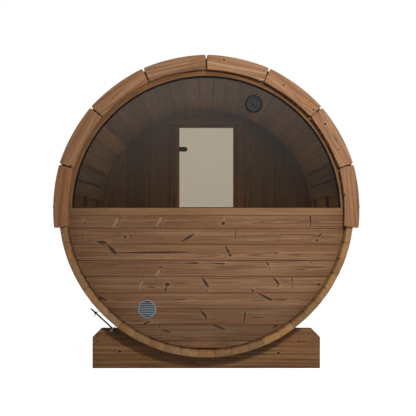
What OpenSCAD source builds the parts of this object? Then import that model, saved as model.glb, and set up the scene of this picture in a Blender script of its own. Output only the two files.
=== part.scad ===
// Barrel sauna: a lying barrel of flat staves held by steel hoops, resting on two shaped cradles.
// The rear end has a boarded wall with a half-moon window over it, the front end a glass door.
// The barrel's axis runs along Y. X is across, Z is up, and the ground is at Z = 0.

/* [Barrel] */
// Outside diameter across the stave faces
barrel_d = 2000; // [1600:10:2400]
// Length of the staves
barrel_l = 1800; // [1500:10:2600]
// Thickness of a stave
stave_t = 40; // [28:1:50]
// Number of staves round the barrel
stave_count = 54; // [42:12:66]
// Gap between neighbouring staves
stave_gap = 0.4; // [0.2:0.1:1]
// Height of the barrel's underside over the ground
barrel_lift = 104; // [60:1:200]

/* [End walls] */
// Thickness of an end wall
wall_t = 40; // [28:1:50]
// Depth of the rear wall behind the rear stave ends
rear_recess = 55; // [30:1:150]
// Depth of the front porch, from the front stave ends to the front wall
porch_depth = 250; // [120:1:500]
// Gap between the parts of the front wall
wall_part_gap = 0.4; // [0.2:0.1:1]

/* [Window] */
// Height of the window sill's top over the barrel's axis
sill_top = 16; // [-100:1:150]
// Height of the sill rail
sill_h = 55; // [40:1:90]
// Width of the wooden ring round the glass
window_ring_w = 42; // [30:1:60]
// Number of segments in the wooden ring
window_ring_parts = 6; // [4:1:10]
// Thickness of the window glass
glass_t = 8; // [6:1:12]
// Depth of the glazing groove in the ring and the sill
glazing_groove = 11; // [8:1:20]
// Thickness of the rubber gasket on each face of the glass
gasket_t = 6; // [4:1:10]
// Height of the gasket's lip over the glazing groove
gasket_lip = 7.5; // [4:0.5:12]

/* [Vents] */
// Outside diameter of the round valve in the glass
glass_vent_d = 120; // [90:1:160]
// Angle of the glass valve over the horizontal, to the right of the axis
glass_vent_angle = 65.9; // [45:0.1:80]
// Distance of the glass valve's centre inside the wooden ring
glass_vent_inset = 116; // [90:1:300]
// Outside diameter of the louvred vent in the rear wall
wall_vent_d = 128; // [90:1:160]
// Angle of the wall vent below the horizontal, to the left of the axis
wall_vent_angle = 59.1; // [30:0.1:80]
// Distance of the wall vent's centre inside the wall's edge
wall_vent_inset = 168; // [90:1:400]
// Number of louvres in the wall vent
louvre_count = 7; // [4:1:9]
// Thickness of a louvre
louvre_t = 3; // [2:0.5:5]
// Depth of the louvres from front to back
louvre_depth = 18; // [8:1:30]
// Depth of a vent's flange in front of what it is set in
vent_flange_t = 6; // [3:1:10]
// Width of a vent's flange outside its spigot
vent_flange_w = 9; // [6:1:15]
// Wall thickness of a vent's spigot
spigot_t = 5; // [3:1:10]
// Number of holes in the valve plate
valve_holes = 6; // [3:1:9]
// Radius of the valve plate's hub
valve_hub_r = 11; // [8:1:18]

/* [Trim boards] */
// Thickness of the trim boards over the stave ends
trim_t = 28; // [20:1:40]
// Reach of the trim outside the barrel's faces
trim_over = 32; // [20:1:60]
// Width of a trim board
trim_w = 100; // [70:1:140]
// Height of the trim's centre over the axis
trim_rise = 11.5; // [0:0.5:30]
// Angle of the trim's lower ends below the horizontal
trim_drop_angle = 7.7; // [0:0.1:15]
// Number of trim boards on each side
trim_boards = 4; // [3:1:6]
// Gap between neighbouring trim boards
trim_gap = 6; // [2:1:12]
// Length by which the curve sawn on a board's edges is larger in radius than the trim
trim_edge_extra = 158; // [20:1:400]
// Radius of a board's corners
trim_corner_r = 11; // [4:1:20]

/* [Door] */
// Clear width of the doorway between the frame's stops
door_clear_w = 496; // [440:1:620]
// Distance from the casing's upper corners to the staves
casing_corner_gap = 16.7; // [5:0.1:150]
// Overlap of the glass behind the frame's stops
door_overlap = 12; // [8:1:20]
// Gap round the door and between the door and its stops
door_gap = 6; // [5:0.5:10]
// Thickness of the frame outside its rebate
door_frame_t = 32; // [24:1:45]
// Depth by which the frame stands out of the wall's outer face
door_frame_proud = 10; // [4:1:25]
// Width of the casing boards on the inner face of the wall
casing_w = 55; // [40:1:65]
// Thickness of the casing boards
casing_t = 15; // [10:1:25]
// Width of frame that shows inside the casing at the sides
casing_reveal = 41; // [20:1:45]
// Width of frame that shows under the head casing
casing_head_reveal = 32; // [20:1:45]

/* [Door hardware] */
// Height of a hinge plate, which is also twice its end radius
hinge_plate_h = 42; // [30:1:60]
// Reach of a hinge plate over the glass, from the doorway's edge
hinge_plate_reach = 74; // [50:1:110]
// Thickness of a hinge plate
hinge_plate_t = 8; // [6:1:10]
// Distance from a hinge's middle to the doorway's top or bottom
hinge_from_end = 195; // [80:1:400]
// Diameter of the hinge pin
hinge_pin_d = 8; // [6:1:12]
// Outside diameter of the hinge knuckles
knuckle_d = 16; // [14:1:20]
// Length of the door's knuckle
knuckle_l = 24; // [16:1:40]
// Length of each of the frame's two knuckles
end_knuckle_l = 14; // [8:1:24]
// Play between neighbouring knuckles
knuckle_play = 1; // [0.5:0.5:2]
// Distance of the pin's axis beside the glass
pin_aside = 12; // [10:1:16]
// Distance of the pin's axis outside the frame's face
pin_proud = 15; // [14:1:24]
// Thickness of the hinge's plate on the frame
bracket_t = 4; // [3:1:5]
// Length of the handle's wooden bars
handle_l = 180; // [120:1:300]
// Thickness of the handle's wooden bars
handle_t = 26; // [18:1:40]
// Depth of the handle's centre below the axis
handle_drop = 105; // [50:1:300]
// Distance from the door's free edge to the handle
handle_inset = 50; // [40:1:90]
// Reach of the handle's bars from the glass
handle_reach = 34; // [28:1:60]
// Diameter of the handle's bolts
handle_bolt_d = 14; // [8:1:20]

/* [Inside] */
// Width of the duckboard
floor_w = 796; // [600:1:1000]
// Gap between the duckboard's edge and the staves
floor_side_gap = 3; // [1:0.5:20]
// Thickness of the duckboard's slats
floor_slat_t = 22; // [16:1:35]
// Number of duckboard slats
floor_slats = 8; // [5:1:10]
// Gap between duckboard slats
floor_slat_gap = 10; // [5:1:20]
// Thickness of the bearers under the duckboard
bearer_t = 40; // [25:1:60]
// Gap between the duckboard's ends and the walls
floor_end_gap = 5; // [2:1:20]
// Distance from the duckboard's ends to its outer bearers
bearer_inset = 60; // [20:1:200]
// Width of a backrest slat
backrest_slat_w = 100; // [70:1:130]
// Thickness of a backrest slat
backrest_slat_t = 22; // [16:1:35]
// Gap between backrest slats
backrest_gap = 8; // [4:1:20]
// Depth of the battens between the backrest and the staves
backrest_batten_t = 16; // [10:1:30]
// Width of a batten
batten_w = 45; // [30:1:70]
// Angle by which the battens reach below the backrest
batten_low_reach = 9; // [0:0.5:12]
// Angle by which the battens stop below the backrest's upper edge
batten_high_stop = 1; // [0:0.5:4]
// Distance from the rear wall to the first batten
batten_rear_inset = 20; // [5:1:200]
// Distance from the last batten to the backrest's end
batten_front_inset = 60; // [5:1:200]
// Angle of the backrest's lower edge over the horizontal
backrest_low_angle = 7.1; // [4:0.1:15]
// Distance from the front wall to the backrest's end
backrest_stop = 215; // [50:1:400]
// Width of a wall cleat at its middle
cleat_w = 74; // [40:1:100]
// Angle of a wall cleat's middle over the horizontal
cleat_angle = 17; // [5:1:30]
// Thickness of a wall cleat
cleat_t = 28; // [18:1:40]

/* [Hoops] */
// Width of a hoop
hoop_w = 25; // [15:1:40]
// Thickness of a hoop
hoop_t = 1.5; // [1:0.1:3]
// Distance from a stave end to the middle of the first hoop
hoop_inset = 70; // [40:1:110]
// Angle of the tie rod below the horizontal
tie_angle = 47.5; // [35:0.5:60]
// Distance of the tie rod's axis outside the barrel's faces
tie_rod_out = 37; // [25:1:60]
// Length of a tie rod
tie_rod_l = 258; // [200:1:360]
// Diameter of a tie rod
tie_rod_d = 12; // [8:1:16]
// Half the distance between the two lugs
lug_half_gap = 77; // [50:1:95]
// Thickness of a lug
lug_t = 5; // [3:1:8]
// Width by which a hoop stands out on each side of its lugs
lug_side = 1; // [0.5:0.5:3]
// Reach of a lug outside the tie rod's axis
lug_over = 29; // [18:1:40]
// Width of a nut across its flats
nut_af = 19; // [13:1:24]
// Thickness of a nut
nut_t = 10; // [6:1:14]

/* [Roof] */
// Thickness of the layered roof shingles
roof_t = 8; // [4:1:15]
// Height of the shingles' lower edge over the axis
roof_low = 96; // [70:1:200]
// Reach of the drip edge's tip outside the barrel's faces
drip_reach = 43; // [30:1:70]
// Height of the drip edge's tip over the axis
drip_low = 18; // [-20:1:60]
// Thickness of the drip edge at its tip
drip_t = 3; // [2:0.5:6]
// Height of the drip edge's leg on the hoops
drip_leg_h = 60; // [30:1:80]
// Thickness of the drip edge's leg
drip_leg_t = 2; // [1:0.5:4]

/* [Cradles] */
// Width of a cradle
cradle_w = 1590; // [1200:10:1900]
// Height of a cradle's shoulders
cradle_h = 275; // [200:1:400]
// Thickness of a cradle
cradle_t = 65; // [45:1:100]
// Size of the chamfer on a cradle's shoulders
cradle_chamfer = 55; // [20:1:100]
// Distance from a stave end to the cradle's outer face
cradle_inset = 130; // [110:1:400]

/* [Hidden] */

// Clearance between faces that rest on each other
fit = 0.3;
// Clearance of a pin or bolt in its hole, on the radius
pin_fit = 0.25;
// Length by which a cutting shape runs past what it cuts
past = 1;
arc_fn = 180;
small_fn = 48;

// Radii of the barrel, across faces and across the corners between staves
face_r = barrel_d / 2;
inner_r = face_r - stave_t;
stave_angle = 360 / stave_count;
corner_r = face_r / cos(stave_angle / 2);
axis_z = face_r + barrel_lift;
trim_r = face_r + trim_over;
trim_edge_r = trim_r + trim_edge_extra;

// Places along the barrel
rear_end = -barrel_l / 2;
front_end = barrel_l / 2;
rear_wall_y = rear_end + rear_recess;
front_wall_y = front_end - porch_depth - wall_t;
front_face_y = front_wall_y + wall_t;
wall_r = inner_r - fit;

// Window
window_r = wall_r - window_ring_w;
glass_y = rear_wall_y + wall_t / 2 - glass_t / 2;
glazing_t = glass_t + 2 * gasket_t;
glazing_y = rear_wall_y + (wall_t - glazing_t) / 2;
sill_bottom = sill_top - sill_h;
glass_edge_gap = 4;
glass_r = window_r + glazing_groove - glass_edge_gap;
glass_low = sill_top - glazing_groove + glass_edge_gap;
ring_start_angle = asin((sill_top + fit) / wall_r);

// Vents, as [across, up] from the axis
glass_vent_at = (window_r - glass_vent_inset) * [cos(glass_vent_angle), sin(glass_vent_angle)];
wall_vent_at = (wall_r - wall_vent_inset) * [-cos(wall_vent_angle), -sin(wall_vent_angle)];

// Duckboard
floor_r = inner_r - fit;
floor_underside = -sqrt(pow(floor_r, 2) - pow(floor_w / 2 + floor_side_gap, 2));
floor_top = floor_underside + floor_slat_t;

// Door
clear_x = door_clear_w / 2;
casing_x = clear_x + casing_reveal + casing_w;
casing_top = sqrt(pow(wall_r - casing_corner_gap, 2) - pow(casing_x, 2));
clear_top = casing_top - casing_w - casing_head_reveal;
clear_bottom = floor_top + door_frame_t + door_gap + door_overlap;
glass_x = clear_x + door_overlap;
rebate_x = glass_x + door_gap;
frame_x = rebate_x + door_frame_t;
frame_top = clear_top + door_overlap + door_gap + door_frame_t;
frame_bottom = floor_top;
frame_face_y = front_face_y + door_frame_proud;
door_y = frame_face_y - glass_t;
stop_y = door_y - door_gap;
hinge_levels = [clear_bottom + hinge_from_end, clear_top - hinge_from_end];
hinge_bolt_x = -clear_x + hinge_plate_reach - hinge_plate_h / 2;
hinge_plate_edge = 3;
pin_x = -glass_x - pin_aside;
pin_y = frame_face_y + pin_proud;
arm_clearance = 5.5;
handle_x = glass_x - handle_inset;
handle_levels = [-handle_drop - handle_l / 3, -handle_drop + handle_l / 3];

// Hoops
hoop_r = corner_r + fit;
hoop_outer_r = hoop_r + hoop_t;
hoop_places = [rear_end + hoop_inset, 0, front_end - hoop_inset];
tie_rod_r = face_r + tie_rod_out;
lug_angle = asin(lug_half_gap / hoop_r);
lug_foot = tie_rod_r - hoop_r * cos(lug_angle) + lug_t;

// Roof
roof_r = hoop_outer_r + fit;
roof_outer_r = roof_r + roof_t;

function unit(v) = v / norm(v);

// Points of an arc about a centre, from one angle to another
function arc(centre, r, from, to, steps) = [
    for (i = [0:steps])
        let (angle = from + (to - from) * i / steps)
        centre + r * [cos(angle), sin(angle)]
];

// Points that round the corner at b, between a and c
function fillet(a, b, c, r, steps = 4) =
    let (u = unit(a - b), v = unit(c - b), half = acos(u * v) / 2)
    let (centre = b + unit(u + v) * r / sin(half))
    let (start = b + u * r / tan(half) - centre, end = b + v * r / tan(half) - centre)
    let (from = atan2(start.y, start.x), turn = atan2(start.x * end.y - start.y * end.x, start * end))
    arc(centre, r, from, from + turn, steps);

// Points of a wedge about the origin that reaches past radius r
function wedge(r, from, to) =
    concat([[0, 0]], arc([0, 0], 2 * r, from, to, 8));

// Carries a flat outline, drawn in X and Z about the barrel's axis, from y_low to y_high
module slab(y_low, y_high) {
    translate([0, y_high, axis_z])
        rotate([90, 0, 0])
            linear_extrude(y_high - y_low)
                children();
}

// Flat ring between two radii
module ring(r_in, r_out) {
    difference() {
        circle(r_out, $fn = arc_fn);
        circle(r_in, $fn = arc_fn);
    }
}

// Part of a flat ring between two angles
module ring_sector(r_in, r_out, from, to) {
    intersection() {
        ring(r_in, r_out);
        polygon(wedge(r_out, from, to));
    }
}

// Disc cut off below a level
module moon(r, level) {
    intersection() {
        circle(r, $fn = arc_fn);
        translate([-2 * r, level])
            square([4 * r, 2 * r]);
    }
}

// One stave, a flat plank with its sides cut to the barrel's angle
module stave(index) {
    half_in = inner_r * tan(stave_angle / 2) - stave_gap / 2;
    half_out = face_r * tan(stave_angle / 2) - stave_gap / 2;
    slab(rear_end, front_end)
        rotate(index * stave_angle)
            polygon([[half_in, -inner_r], [half_out, -face_r], [-half_out, -face_r], [-half_in, -inner_r]]);
}

// One sixth of the staves, counted from the bottom of the barrel
module stave_group(sixth) {
    per_group = stave_count / 6;
    color("#8a6038")
        for (i = [0:per_group - 1])
            stave(sixth * per_group + i - (per_group - 1) / 2);
}

module rear_wall() {
    color("#74543a")
        difference() {
            slab(rear_wall_y, rear_wall_y + wall_t)
                intersection() {
                    circle(wall_r, $fn = arc_fn);
                    translate([-2 * wall_r, -2 * wall_r])
                        square([4 * wall_r, 2 * wall_r + sill_bottom - fit]);
                }
            vent_hole(wall_vent_d, wall_vent_at, rear_wall_y, wall_t);
        }
}

// Hole for the spigot of a round vent
module vent_hole(d, at, y, depth) {
    slab(y - past, y + depth + past)
        translate(at)
            circle(d / 2 - vent_flange_w + fit, $fn = small_fn);
}

module window_sill() {
    color("#82624a")
        difference() {
            slab(rear_wall_y, rear_wall_y + wall_t)
                intersection() {
                    circle(wall_r, $fn = arc_fn);
                    translate([-2 * wall_r, sill_bottom])
                        square([4 * wall_r, sill_h]);
                }
            glazing_cut();
        }
}

// The groove that takes the gasket and the glass
module glazing_cut() {
    slab(glazing_y - fit, glazing_y + glazing_t + fit)
        moon(window_r + glazing_groove + fit, sill_top - glazing_groove - fit);
}

// Wooden ring over the sill, in segments with a thin gap between them
module window_frame() {
    part_angle = (180 - 2 * ring_start_angle) / window_ring_parts;
    half_gap = atan(wall_part_gap / 2 / wall_r);
    cuts = [for (i = [0:window_ring_parts]) ring_start_angle + i * part_angle];
    last = window_ring_parts - 1;
    color("#8a6038")
        difference() {
            slab(rear_wall_y, rear_wall_y + wall_t)
                for (i = [0:last]) {
                    from = i == 0 ? 0 : cuts[i] + half_gap;
                    to = i == last ? 180 : cuts[i + 1] - half_gap;
                    intersection() {
                        ring_sector(window_r, wall_r, from, to);
                        translate([-2 * wall_r, sill_top + fit])
                            square([4 * wall_r, 2 * wall_r]);
                    }
                }
            glazing_cut();
        }
}

module window_gasket() {
    color("#161616")
        difference() {
            slab(glazing_y, glazing_y + glazing_t)
                difference() {
                    moon(window_r + glazing_groove, sill_top - glazing_groove);
                    moon(window_r - gasket_lip, sill_top + gasket_lip);
                }
            slab(glass_y - fit, glass_y + glass_t + fit)
                moon(glass_r + fit, glass_low - fit);
        }
}

module window_glass() {
    color("#3c342c", 0.6)
        difference() {
            slab(glass_y, glass_y + glass_t)
                moon(glass_r, glass_low);
            vent_hole(glass_vent_d, glass_vent_at, glass_y, glass_t);
        }
}

// Round valve: a flange on each face of the glass, a spigot through it and a plate with holes
module glass_vent() {
    r = glass_vent_d / 2;
    bore_r = r - vent_flange_w - spigot_t;
    color("#3a3c40")
        translate([glass_vent_at.x, 0, glass_vent_at.y]) {
            for (y = [glass_y - fit - vent_flange_t, glass_y + glass_t + fit])
                slab(y, y + vent_flange_t)
                    ring(bore_r, r);
            slab(glass_y - fit - vent_flange_t, glass_y + glass_t + fit + vent_flange_t)
                ring(bore_r, r - vent_flange_w);
            slab(glass_y, glass_y + glass_t)
                valve_plate(bore_r);
        }
}

// Plate with holes between spokes round a hub, let into the spigot
module valve_plate(r) {
    rim_w = 4;
    hole_half_angle = 130 / valve_holes;
    difference() {
        circle(r + spigot_t / 2, $fn = small_fn);
        for (i = [0:valve_holes - 1])
            rotate((i + 0.25) * 360 / valve_holes)
                polygon(concat(
                    arc([0, 0], valve_hub_r, -hole_half_angle / 2, hole_half_angle / 2, 3),
                    arc([0, 0], r - rim_w, hole_half_angle, -hole_half_angle, 8)
                ));
    }
}

// Louvred vent: a flange on the wall's outer face, a spigot through the wall and level louvres
module wall_vent() {
    r = wall_vent_d / 2;
    bore_r = r - vent_flange_w - spigot_t;
    pitch = 2 * bore_r / (louvre_count + 1);
    face_y = rear_wall_y - fit - vent_flange_t;
    color("#8e959b")
        translate([wall_vent_at.x, 0, wall_vent_at.y]) {
            slab(face_y, rear_wall_y - fit)
                ring(bore_r, r);
            slab(face_y, rear_wall_y + wall_t)
                ring(bore_r, r - vent_flange_w);
            slab(face_y, face_y + louvre_depth)
                intersection() {
                    circle(bore_r + spigot_t / 2, $fn = small_fn);
                    for (i = [1:louvre_count])
                        translate([-r, -bore_r + i * pitch - louvre_t / 2])
                            square([2 * r, louvre_t]);
                }
        }
}

// Outline of one trim board, with its middle on the positive Z axis
module trim_outline() {
    half_angle = (90 + trim_drop_angle) / trim_boards / 2;
    outer = trim_edge(trim_r, half_angle);
    inner = trim_edge(trim_r - trim_w, half_angle);
    last = len(outer) - 1;
    edge = concat(outer, [for (i = [last:-1:0]) inner[i]]);
    count = len(edge);
    corners = [0, last, last + 1, count - 1];
    polygon([
        for (i = [0:count - 1])
            let (before = edge[(i + count - 1) % count], after = edge[(i + 1) % count])
            each len(search(i, corners)) > 0 ? fillet(before, edge[i], after, trim_corner_r) : [edge[i]]
    ]);
}

// Points of a board's edge between its two end cuts, on an arc of radius trim_edge_r whose top is at r
function trim_edge(r, half_angle) =
    let (centre = r - trim_edge_r)
    let (reach = end_cut_angle(centre, half_angle))
    arc([0, centre], trim_edge_r, 90 - reach, 90 + reach, 10);

// Angle, seen from [0, centre], at which the edge's arc meets the end cut
function end_cut_angle(centre, half_angle) =
    let (along = [sin(half_angle), cos(half_angle)])
    let (start = [-cos(half_angle), sin(half_angle)] * trim_gap / 2 - [0, centre])
    let (run = -start * along + sqrt(pow(start * along, 2) - start * start + pow(trim_edge_r, 2)))
    let (hit = start + run * along)
    atan2(hit.x, hit.y);

// Four boards of trim on one side of one end; side is -1 for left and 1 for right
module trim(side, y_low) {
    step = (90 + trim_drop_angle) / trim_boards;
    color("#9a7150")
        slab(y_low, y_low + trim_t)
            translate([0, trim_rise])
                for (i = [0:trim_boards - 1])
                    rotate(-side * (i + 0.5) * step)
                        trim_outline();
}

// The front wall's disc, cut to the part between x_low and x_high and between z_low and z_high
module front_wall_part(x_low, x_high, z_low, z_high) {
    color("#6e4e36")
        slab(front_wall_y, front_face_y)
            intersection() {
                circle(wall_r, $fn = arc_fn);
                translate([x_low, z_low])
                    square([x_high - x_low, z_high - z_low]);
            }
}

// Rectangle of the doorway's clear size, grown by a margin on every side
module doorway(margin) {
    translate([-clear_x - margin, clear_bottom - margin])
        square([door_clear_w + 2 * margin, clear_top - clear_bottom + 2 * margin]);
}

module door_frame() {
    rebate = door_overlap + door_gap;
    notch_h = hinge_plate_h + 2 * door_gap;
    color("#6a4a34")
        difference() {
            slab(front_wall_y, frame_face_y)
                difference() {
                    doorway(rebate + door_frame_t);
                    doorway(0);
                }
            slab(stop_y, frame_face_y + past)
                doorway(rebate);
            for (level = hinge_levels)
                slab(stop_y - hinge_plate_t - door_gap, frame_face_y + past)
                    translate([-rebate_x, level - notch_h / 2])
                        square([rebate, notch_h]);
        }
}

// Casing boards at the head and the sides, down to the duckboard
module door_casing() {
    opening_x = clear_x + casing_reveal;
    foot = floor_top + fit;
    color("#64452f")
        slab(front_wall_y - fit - casing_t, front_wall_y - fit)
            difference() {
                translate([-casing_x, foot])
                    square([2 * casing_x, casing_top - foot]);
                translate([-opening_x, foot - past])
                    square([2 * opening_x, clear_top + casing_head_reveal - foot + past]);
            }
}

module door_glass() {
    color("#b9ae9a", 0.5)
        difference() {
            slab(door_y, door_y + glass_t)
                doorway(door_overlap);
            for (level = handle_levels)
                slab(door_y - past, door_y + glass_t + past)
                    translate([handle_x, level])
                        circle(handle_bolt_d / 2 + pin_fit, $fn = small_fn);
            for (level = hinge_levels)
                slab(door_y - past, door_y + glass_t + past)
                    translate([hinge_bolt_x, level])
                        circle(hinge_pin_d / 2 + pin_fit, $fn = small_fn);
        }
}

// Plate over the glass, from near the glass's edge to a round end about its bolt
module hinge_plate() {
    from = hinge_plate_edge - glass_x;
    translate([from, -hinge_plate_h / 2])
        square([hinge_bolt_x - from, hinge_plate_h]);
    translate([hinge_bolt_x, 0])
        circle(hinge_plate_h / 2, $fn = small_fn);
}

// The door's half of each hinge: two plates clamped on the glass, and an arm to a knuckle on the pin
module door_hinges() {
    color("#2b2c2e")
        for (level = hinge_levels)
            difference() {
                union() {
                    for (y = [door_y - fit - hinge_plate_t, door_y + glass_t + fit])
                        slab(y, y + hinge_plate_t)
                            translate([0, level])
                                hinge_plate();
                    slab(door_y - fit - past, door_y + glass_t + fit + past)
                        translate([hinge_bolt_x, level])
                            circle(hinge_pin_d / 2, $fn = small_fn);
                    slab(frame_face_y + arm_clearance, pin_y)
                        translate([pin_x, level - knuckle_l / 2])
                            square([-glass_x + knuckle_d - pin_x, knuckle_l]);
                    translate([pin_x, pin_y, axis_z + level - knuckle_l / 2])
                        cylinder(h = knuckle_l, d = knuckle_d, $fn = small_fn);
                }
                translate([pin_x, pin_y, axis_z + level - knuckle_l])
                    cylinder(h = 2 * knuckle_l, r = hinge_pin_d / 2 + pin_fit, $fn = small_fn);
            }
}

// The frame's half of each hinge: a plate on the jamb, two outer knuckles and the pin
module hinge_brackets() {
    half_h = knuckle_l / 2 + knuckle_play + end_knuckle_l;
    plate_y = frame_face_y + fit;
    web_x = pin_x - knuckle_d / 2 - bracket_t;
    plate_x = web_x - bracket_t * 3;
    color("#2b2c2e")
        for (level = hinge_levels)
            translate([0, 0, axis_z + level]) {
                translate([plate_x, plate_y, -half_h])
                    cube([pin_x - knuckle_d / 2 - plate_x, bracket_t, 2 * half_h]);
                for (z = [-half_h, half_h - end_knuckle_l]) {
                    translate([web_x, plate_y, z])
                        cube([pin_x - web_x, pin_y - plate_y, end_knuckle_l]);
                    translate([pin_x, pin_y, z])
                        cylinder(h = end_knuckle_l, d = knuckle_d, $fn = small_fn);
                }
                translate([pin_x, pin_y, -half_h])
                    cylinder(h = 2 * half_h, d = hinge_pin_d, $fn = small_fn);
            }
}

// Wooden bar inside and outside, on two bolts through the glass
module door_handle() {
    outer_y = door_y + glass_t + handle_reach;
    inner_y = door_y - handle_reach;
    color("#8a6038") {
        slab(outer_y, outer_y + handle_t)
            translate([handle_x - handle_t / 2, -handle_drop - handle_l / 2])
                square([handle_t, handle_l]);
        slab(inner_y - handle_t, inner_y)
            translate([handle_x - handle_t / 2, -handle_drop - handle_l / 2])
                square([handle_t, handle_l]);
        for (level = handle_levels)
            slab(inner_y - past, outer_y + past)
                translate([handle_x, level])
                    circle(d = handle_bolt_d, $fn = small_fn);
    }
}

// Backrest of two slats on three battens against the staves; side is -1 for left and 1 for right
module backrest(side) {
    slat_face = inner_r - fit - backrest_batten_t - backrest_slat_t;
    low_y = rear_wall_y + wall_t + fit;
    high_y = front_wall_y - backrest_stop;
    first_y = low_y + batten_rear_inset;
    last_y = high_y - batten_w - batten_front_inset;
    slat_turn = 2 * atan(backrest_slat_w / 2 / slat_face);
    step = slat_turn + 2 * atan(backrest_gap / 2 / slat_face);
    middles = [for (i = [0:1]) backrest_low_angle + slat_turn / 2 + i * step];
    color("#5c402c")
        mirror([side < 0 ? 1 : 0, 0, 0]) {
            slab(low_y, high_y)
                for (middle = middles)
                    rotate(middle)
                        translate([slat_face, -backrest_slat_w / 2])
                            square([backrest_slat_t, backrest_slat_w]);
            for (y = [first_y, (first_y + last_y) / 2, last_y])
                slab(y, y + batten_w)
                    difference() {
                        ring_sector(
                            slat_face + backrest_slat_t - past,
                            inner_r - fit,
                            backrest_low_angle - batten_low_reach,
                            backrest_low_angle + step + slat_turn - batten_high_stop
                        );
                        for (middle = middles)
                            rotate(middle)
                                translate([slat_face - past, -backrest_slat_w / 2])
                                    square([past, backrest_slat_w]);
                    }
        }
}

// Board with a straight inner edge, which closes the corner between staves and front wall
module wall_cleat(side) {
    color("#64452f")
        slab(front_wall_y - fit - cleat_t, front_wall_y - fit)
            mirror([side < 0 ? 1 : 0, 0])
                rotate(cleat_angle)
                    intersection() {
                        circle(wall_r, $fn = arc_fn);
                        translate([wall_r - cleat_w, -wall_r])
                            square([wall_r, 2 * wall_r]);
                    }
}

// Slats along the barrel on three bearers that follow the staves
module duckboard() {
    low_y = rear_wall_y + wall_t + floor_end_gap;
    high_y = front_wall_y - casing_t - floor_end_gap;
    first_y = low_y + bearer_inset;
    last_y = high_y - bearer_t - bearer_inset;
    slat_w = (floor_w - (floor_slats - 1) * floor_slat_gap) / floor_slats;
    color("#6e4e36") {
        for (i = [0:floor_slats - 1])
            translate([-floor_w / 2 + i * (slat_w + floor_slat_gap), low_y, axis_z + floor_underside])
                cube([slat_w, high_y - low_y, floor_slat_t]);
        for (y = [first_y, (first_y + last_y) / 2, last_y])
            slab(y, y + bearer_t)
                intersection() {
                    circle(floor_r, $fn = arc_fn);
                    translate([-inner_r, -inner_r])
                        square([2 * inner_r, inner_r + floor_underside]);
                }
    }
}

// Steel strap round the staves, open at the tie rod, with a lug at each end
module hoop(y) {
    color("#1e1f20")
        slab(y - hoop_w / 2, y + hoop_w / 2)
            ring_sector(hoop_r, hoop_outer_r, 180 + tie_angle + lug_angle, 540 + tie_angle - lug_angle);
    color("#b6bcc0")
        rotate_to_tie(y)
            for (end = [-1, 1])
                difference() {
                    translate([lug_side - hoop_w / 2, end * lug_half_gap - lug_t / 2, -lug_foot])
                        cube([hoop_w - 2 * lug_side, lug_t, lug_foot + lug_over]);
                    cylinder_along_rod(tie_rod_d / 2 + pin_fit, 2 * tie_rod_l);
                    translate([0, 0, -tie_rod_r])
                        rotate([0, 90, 0])
                            cylinder(h = 2 * hoop_w, r = hoop_r + hoop_t / 2, center = true, $fn = arc_fn);
                }
}

// Places children with X along the barrel, Y along the tie rod and Z outwards from the barrel
module rotate_to_tie(y) {
    translate([0, y, axis_z])
        rotate([0, 270 - tie_angle, 0])
            translate([0, 0, tie_rod_r])
                rotate([0, 0, 90])
                    children();
}

module cylinder_along_rod(r, l) {
    rotate([90, 0, 0])
        cylinder(h = l, r = r, center = true, $fn = small_fn);
}

// Threaded rod with a nut on the outer face of each lug
module tie_rod(y) {
    color("#26282a")
        rotate_to_tie(y) {
            cylinder_along_rod(tie_rod_d / 2, tie_rod_l);
            for (end = [-1, 1])
                translate([0, end * (lug_half_gap + lug_t / 2 + fit + nut_t / 2), 0])
                    rotate([90, 0, 0])
                        cylinder(h = nut_t, d = nut_af / cos(30), center = true, $fn = 6);
        }
}

// One side of the shingled roof, from the drip edge to the ridge line
module roof(side) {
    color("#2a2b2d")
        slab(rear_end + fit, front_end - fit)
            mirror([side < 0 ? 1 : 0, 0])
                intersection() {
                    ring(roof_r, roof_outer_r);
                    translate([fit / 2, roof_low])
                        square(2 * roof_outer_r);
                }
}

// Folded metal edge: a leg on the hoops, and a plate that throws the water clear of the trim
module drip_edge(side) {
    leg_x = roof_r + drip_leg_t;
    tip_x = face_r + drip_reach;
    top_z = roof_low - fit;
    fold_z = top_z - 4 * drip_t;
    color("#17181a")
        slab(rear_end + fit, front_end - fit)
            mirror([side < 0 ? 1 : 0, 0])
                polygon([
                    [roof_r, top_z - drip_leg_h],
                    [leg_x, top_z - drip_leg_h],
                    [leg_x, fold_z],
                    [leg_x + drip_leg_t, fold_z],
                    [tip_x - drip_t, drip_low],
                    [tip_x, drip_low],
                    [roof_outer_r, top_z],
                    [roof_r, top_z]
                ]);
}

// Shaped timber under the barrel, standing on the ground
module cradle(y_low) {
    half_w = cradle_w / 2;
    color("#6e4e34")
        slab(y_low, y_low + cradle_t)
            difference() {
                translate([0, -axis_z])
                    polygon([
                        [-half_w, 0],
                        [half_w, 0],
                        [half_w, cradle_h - cradle_chamfer],
                        [half_w - cradle_chamfer, cradle_h],
                        [-half_w + cradle_chamfer, cradle_h],
                        [-half_w, cradle_h - cradle_chamfer]
                    ]);
                circle(corner_r + fit, $fn = arc_fn);
            }
}

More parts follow.
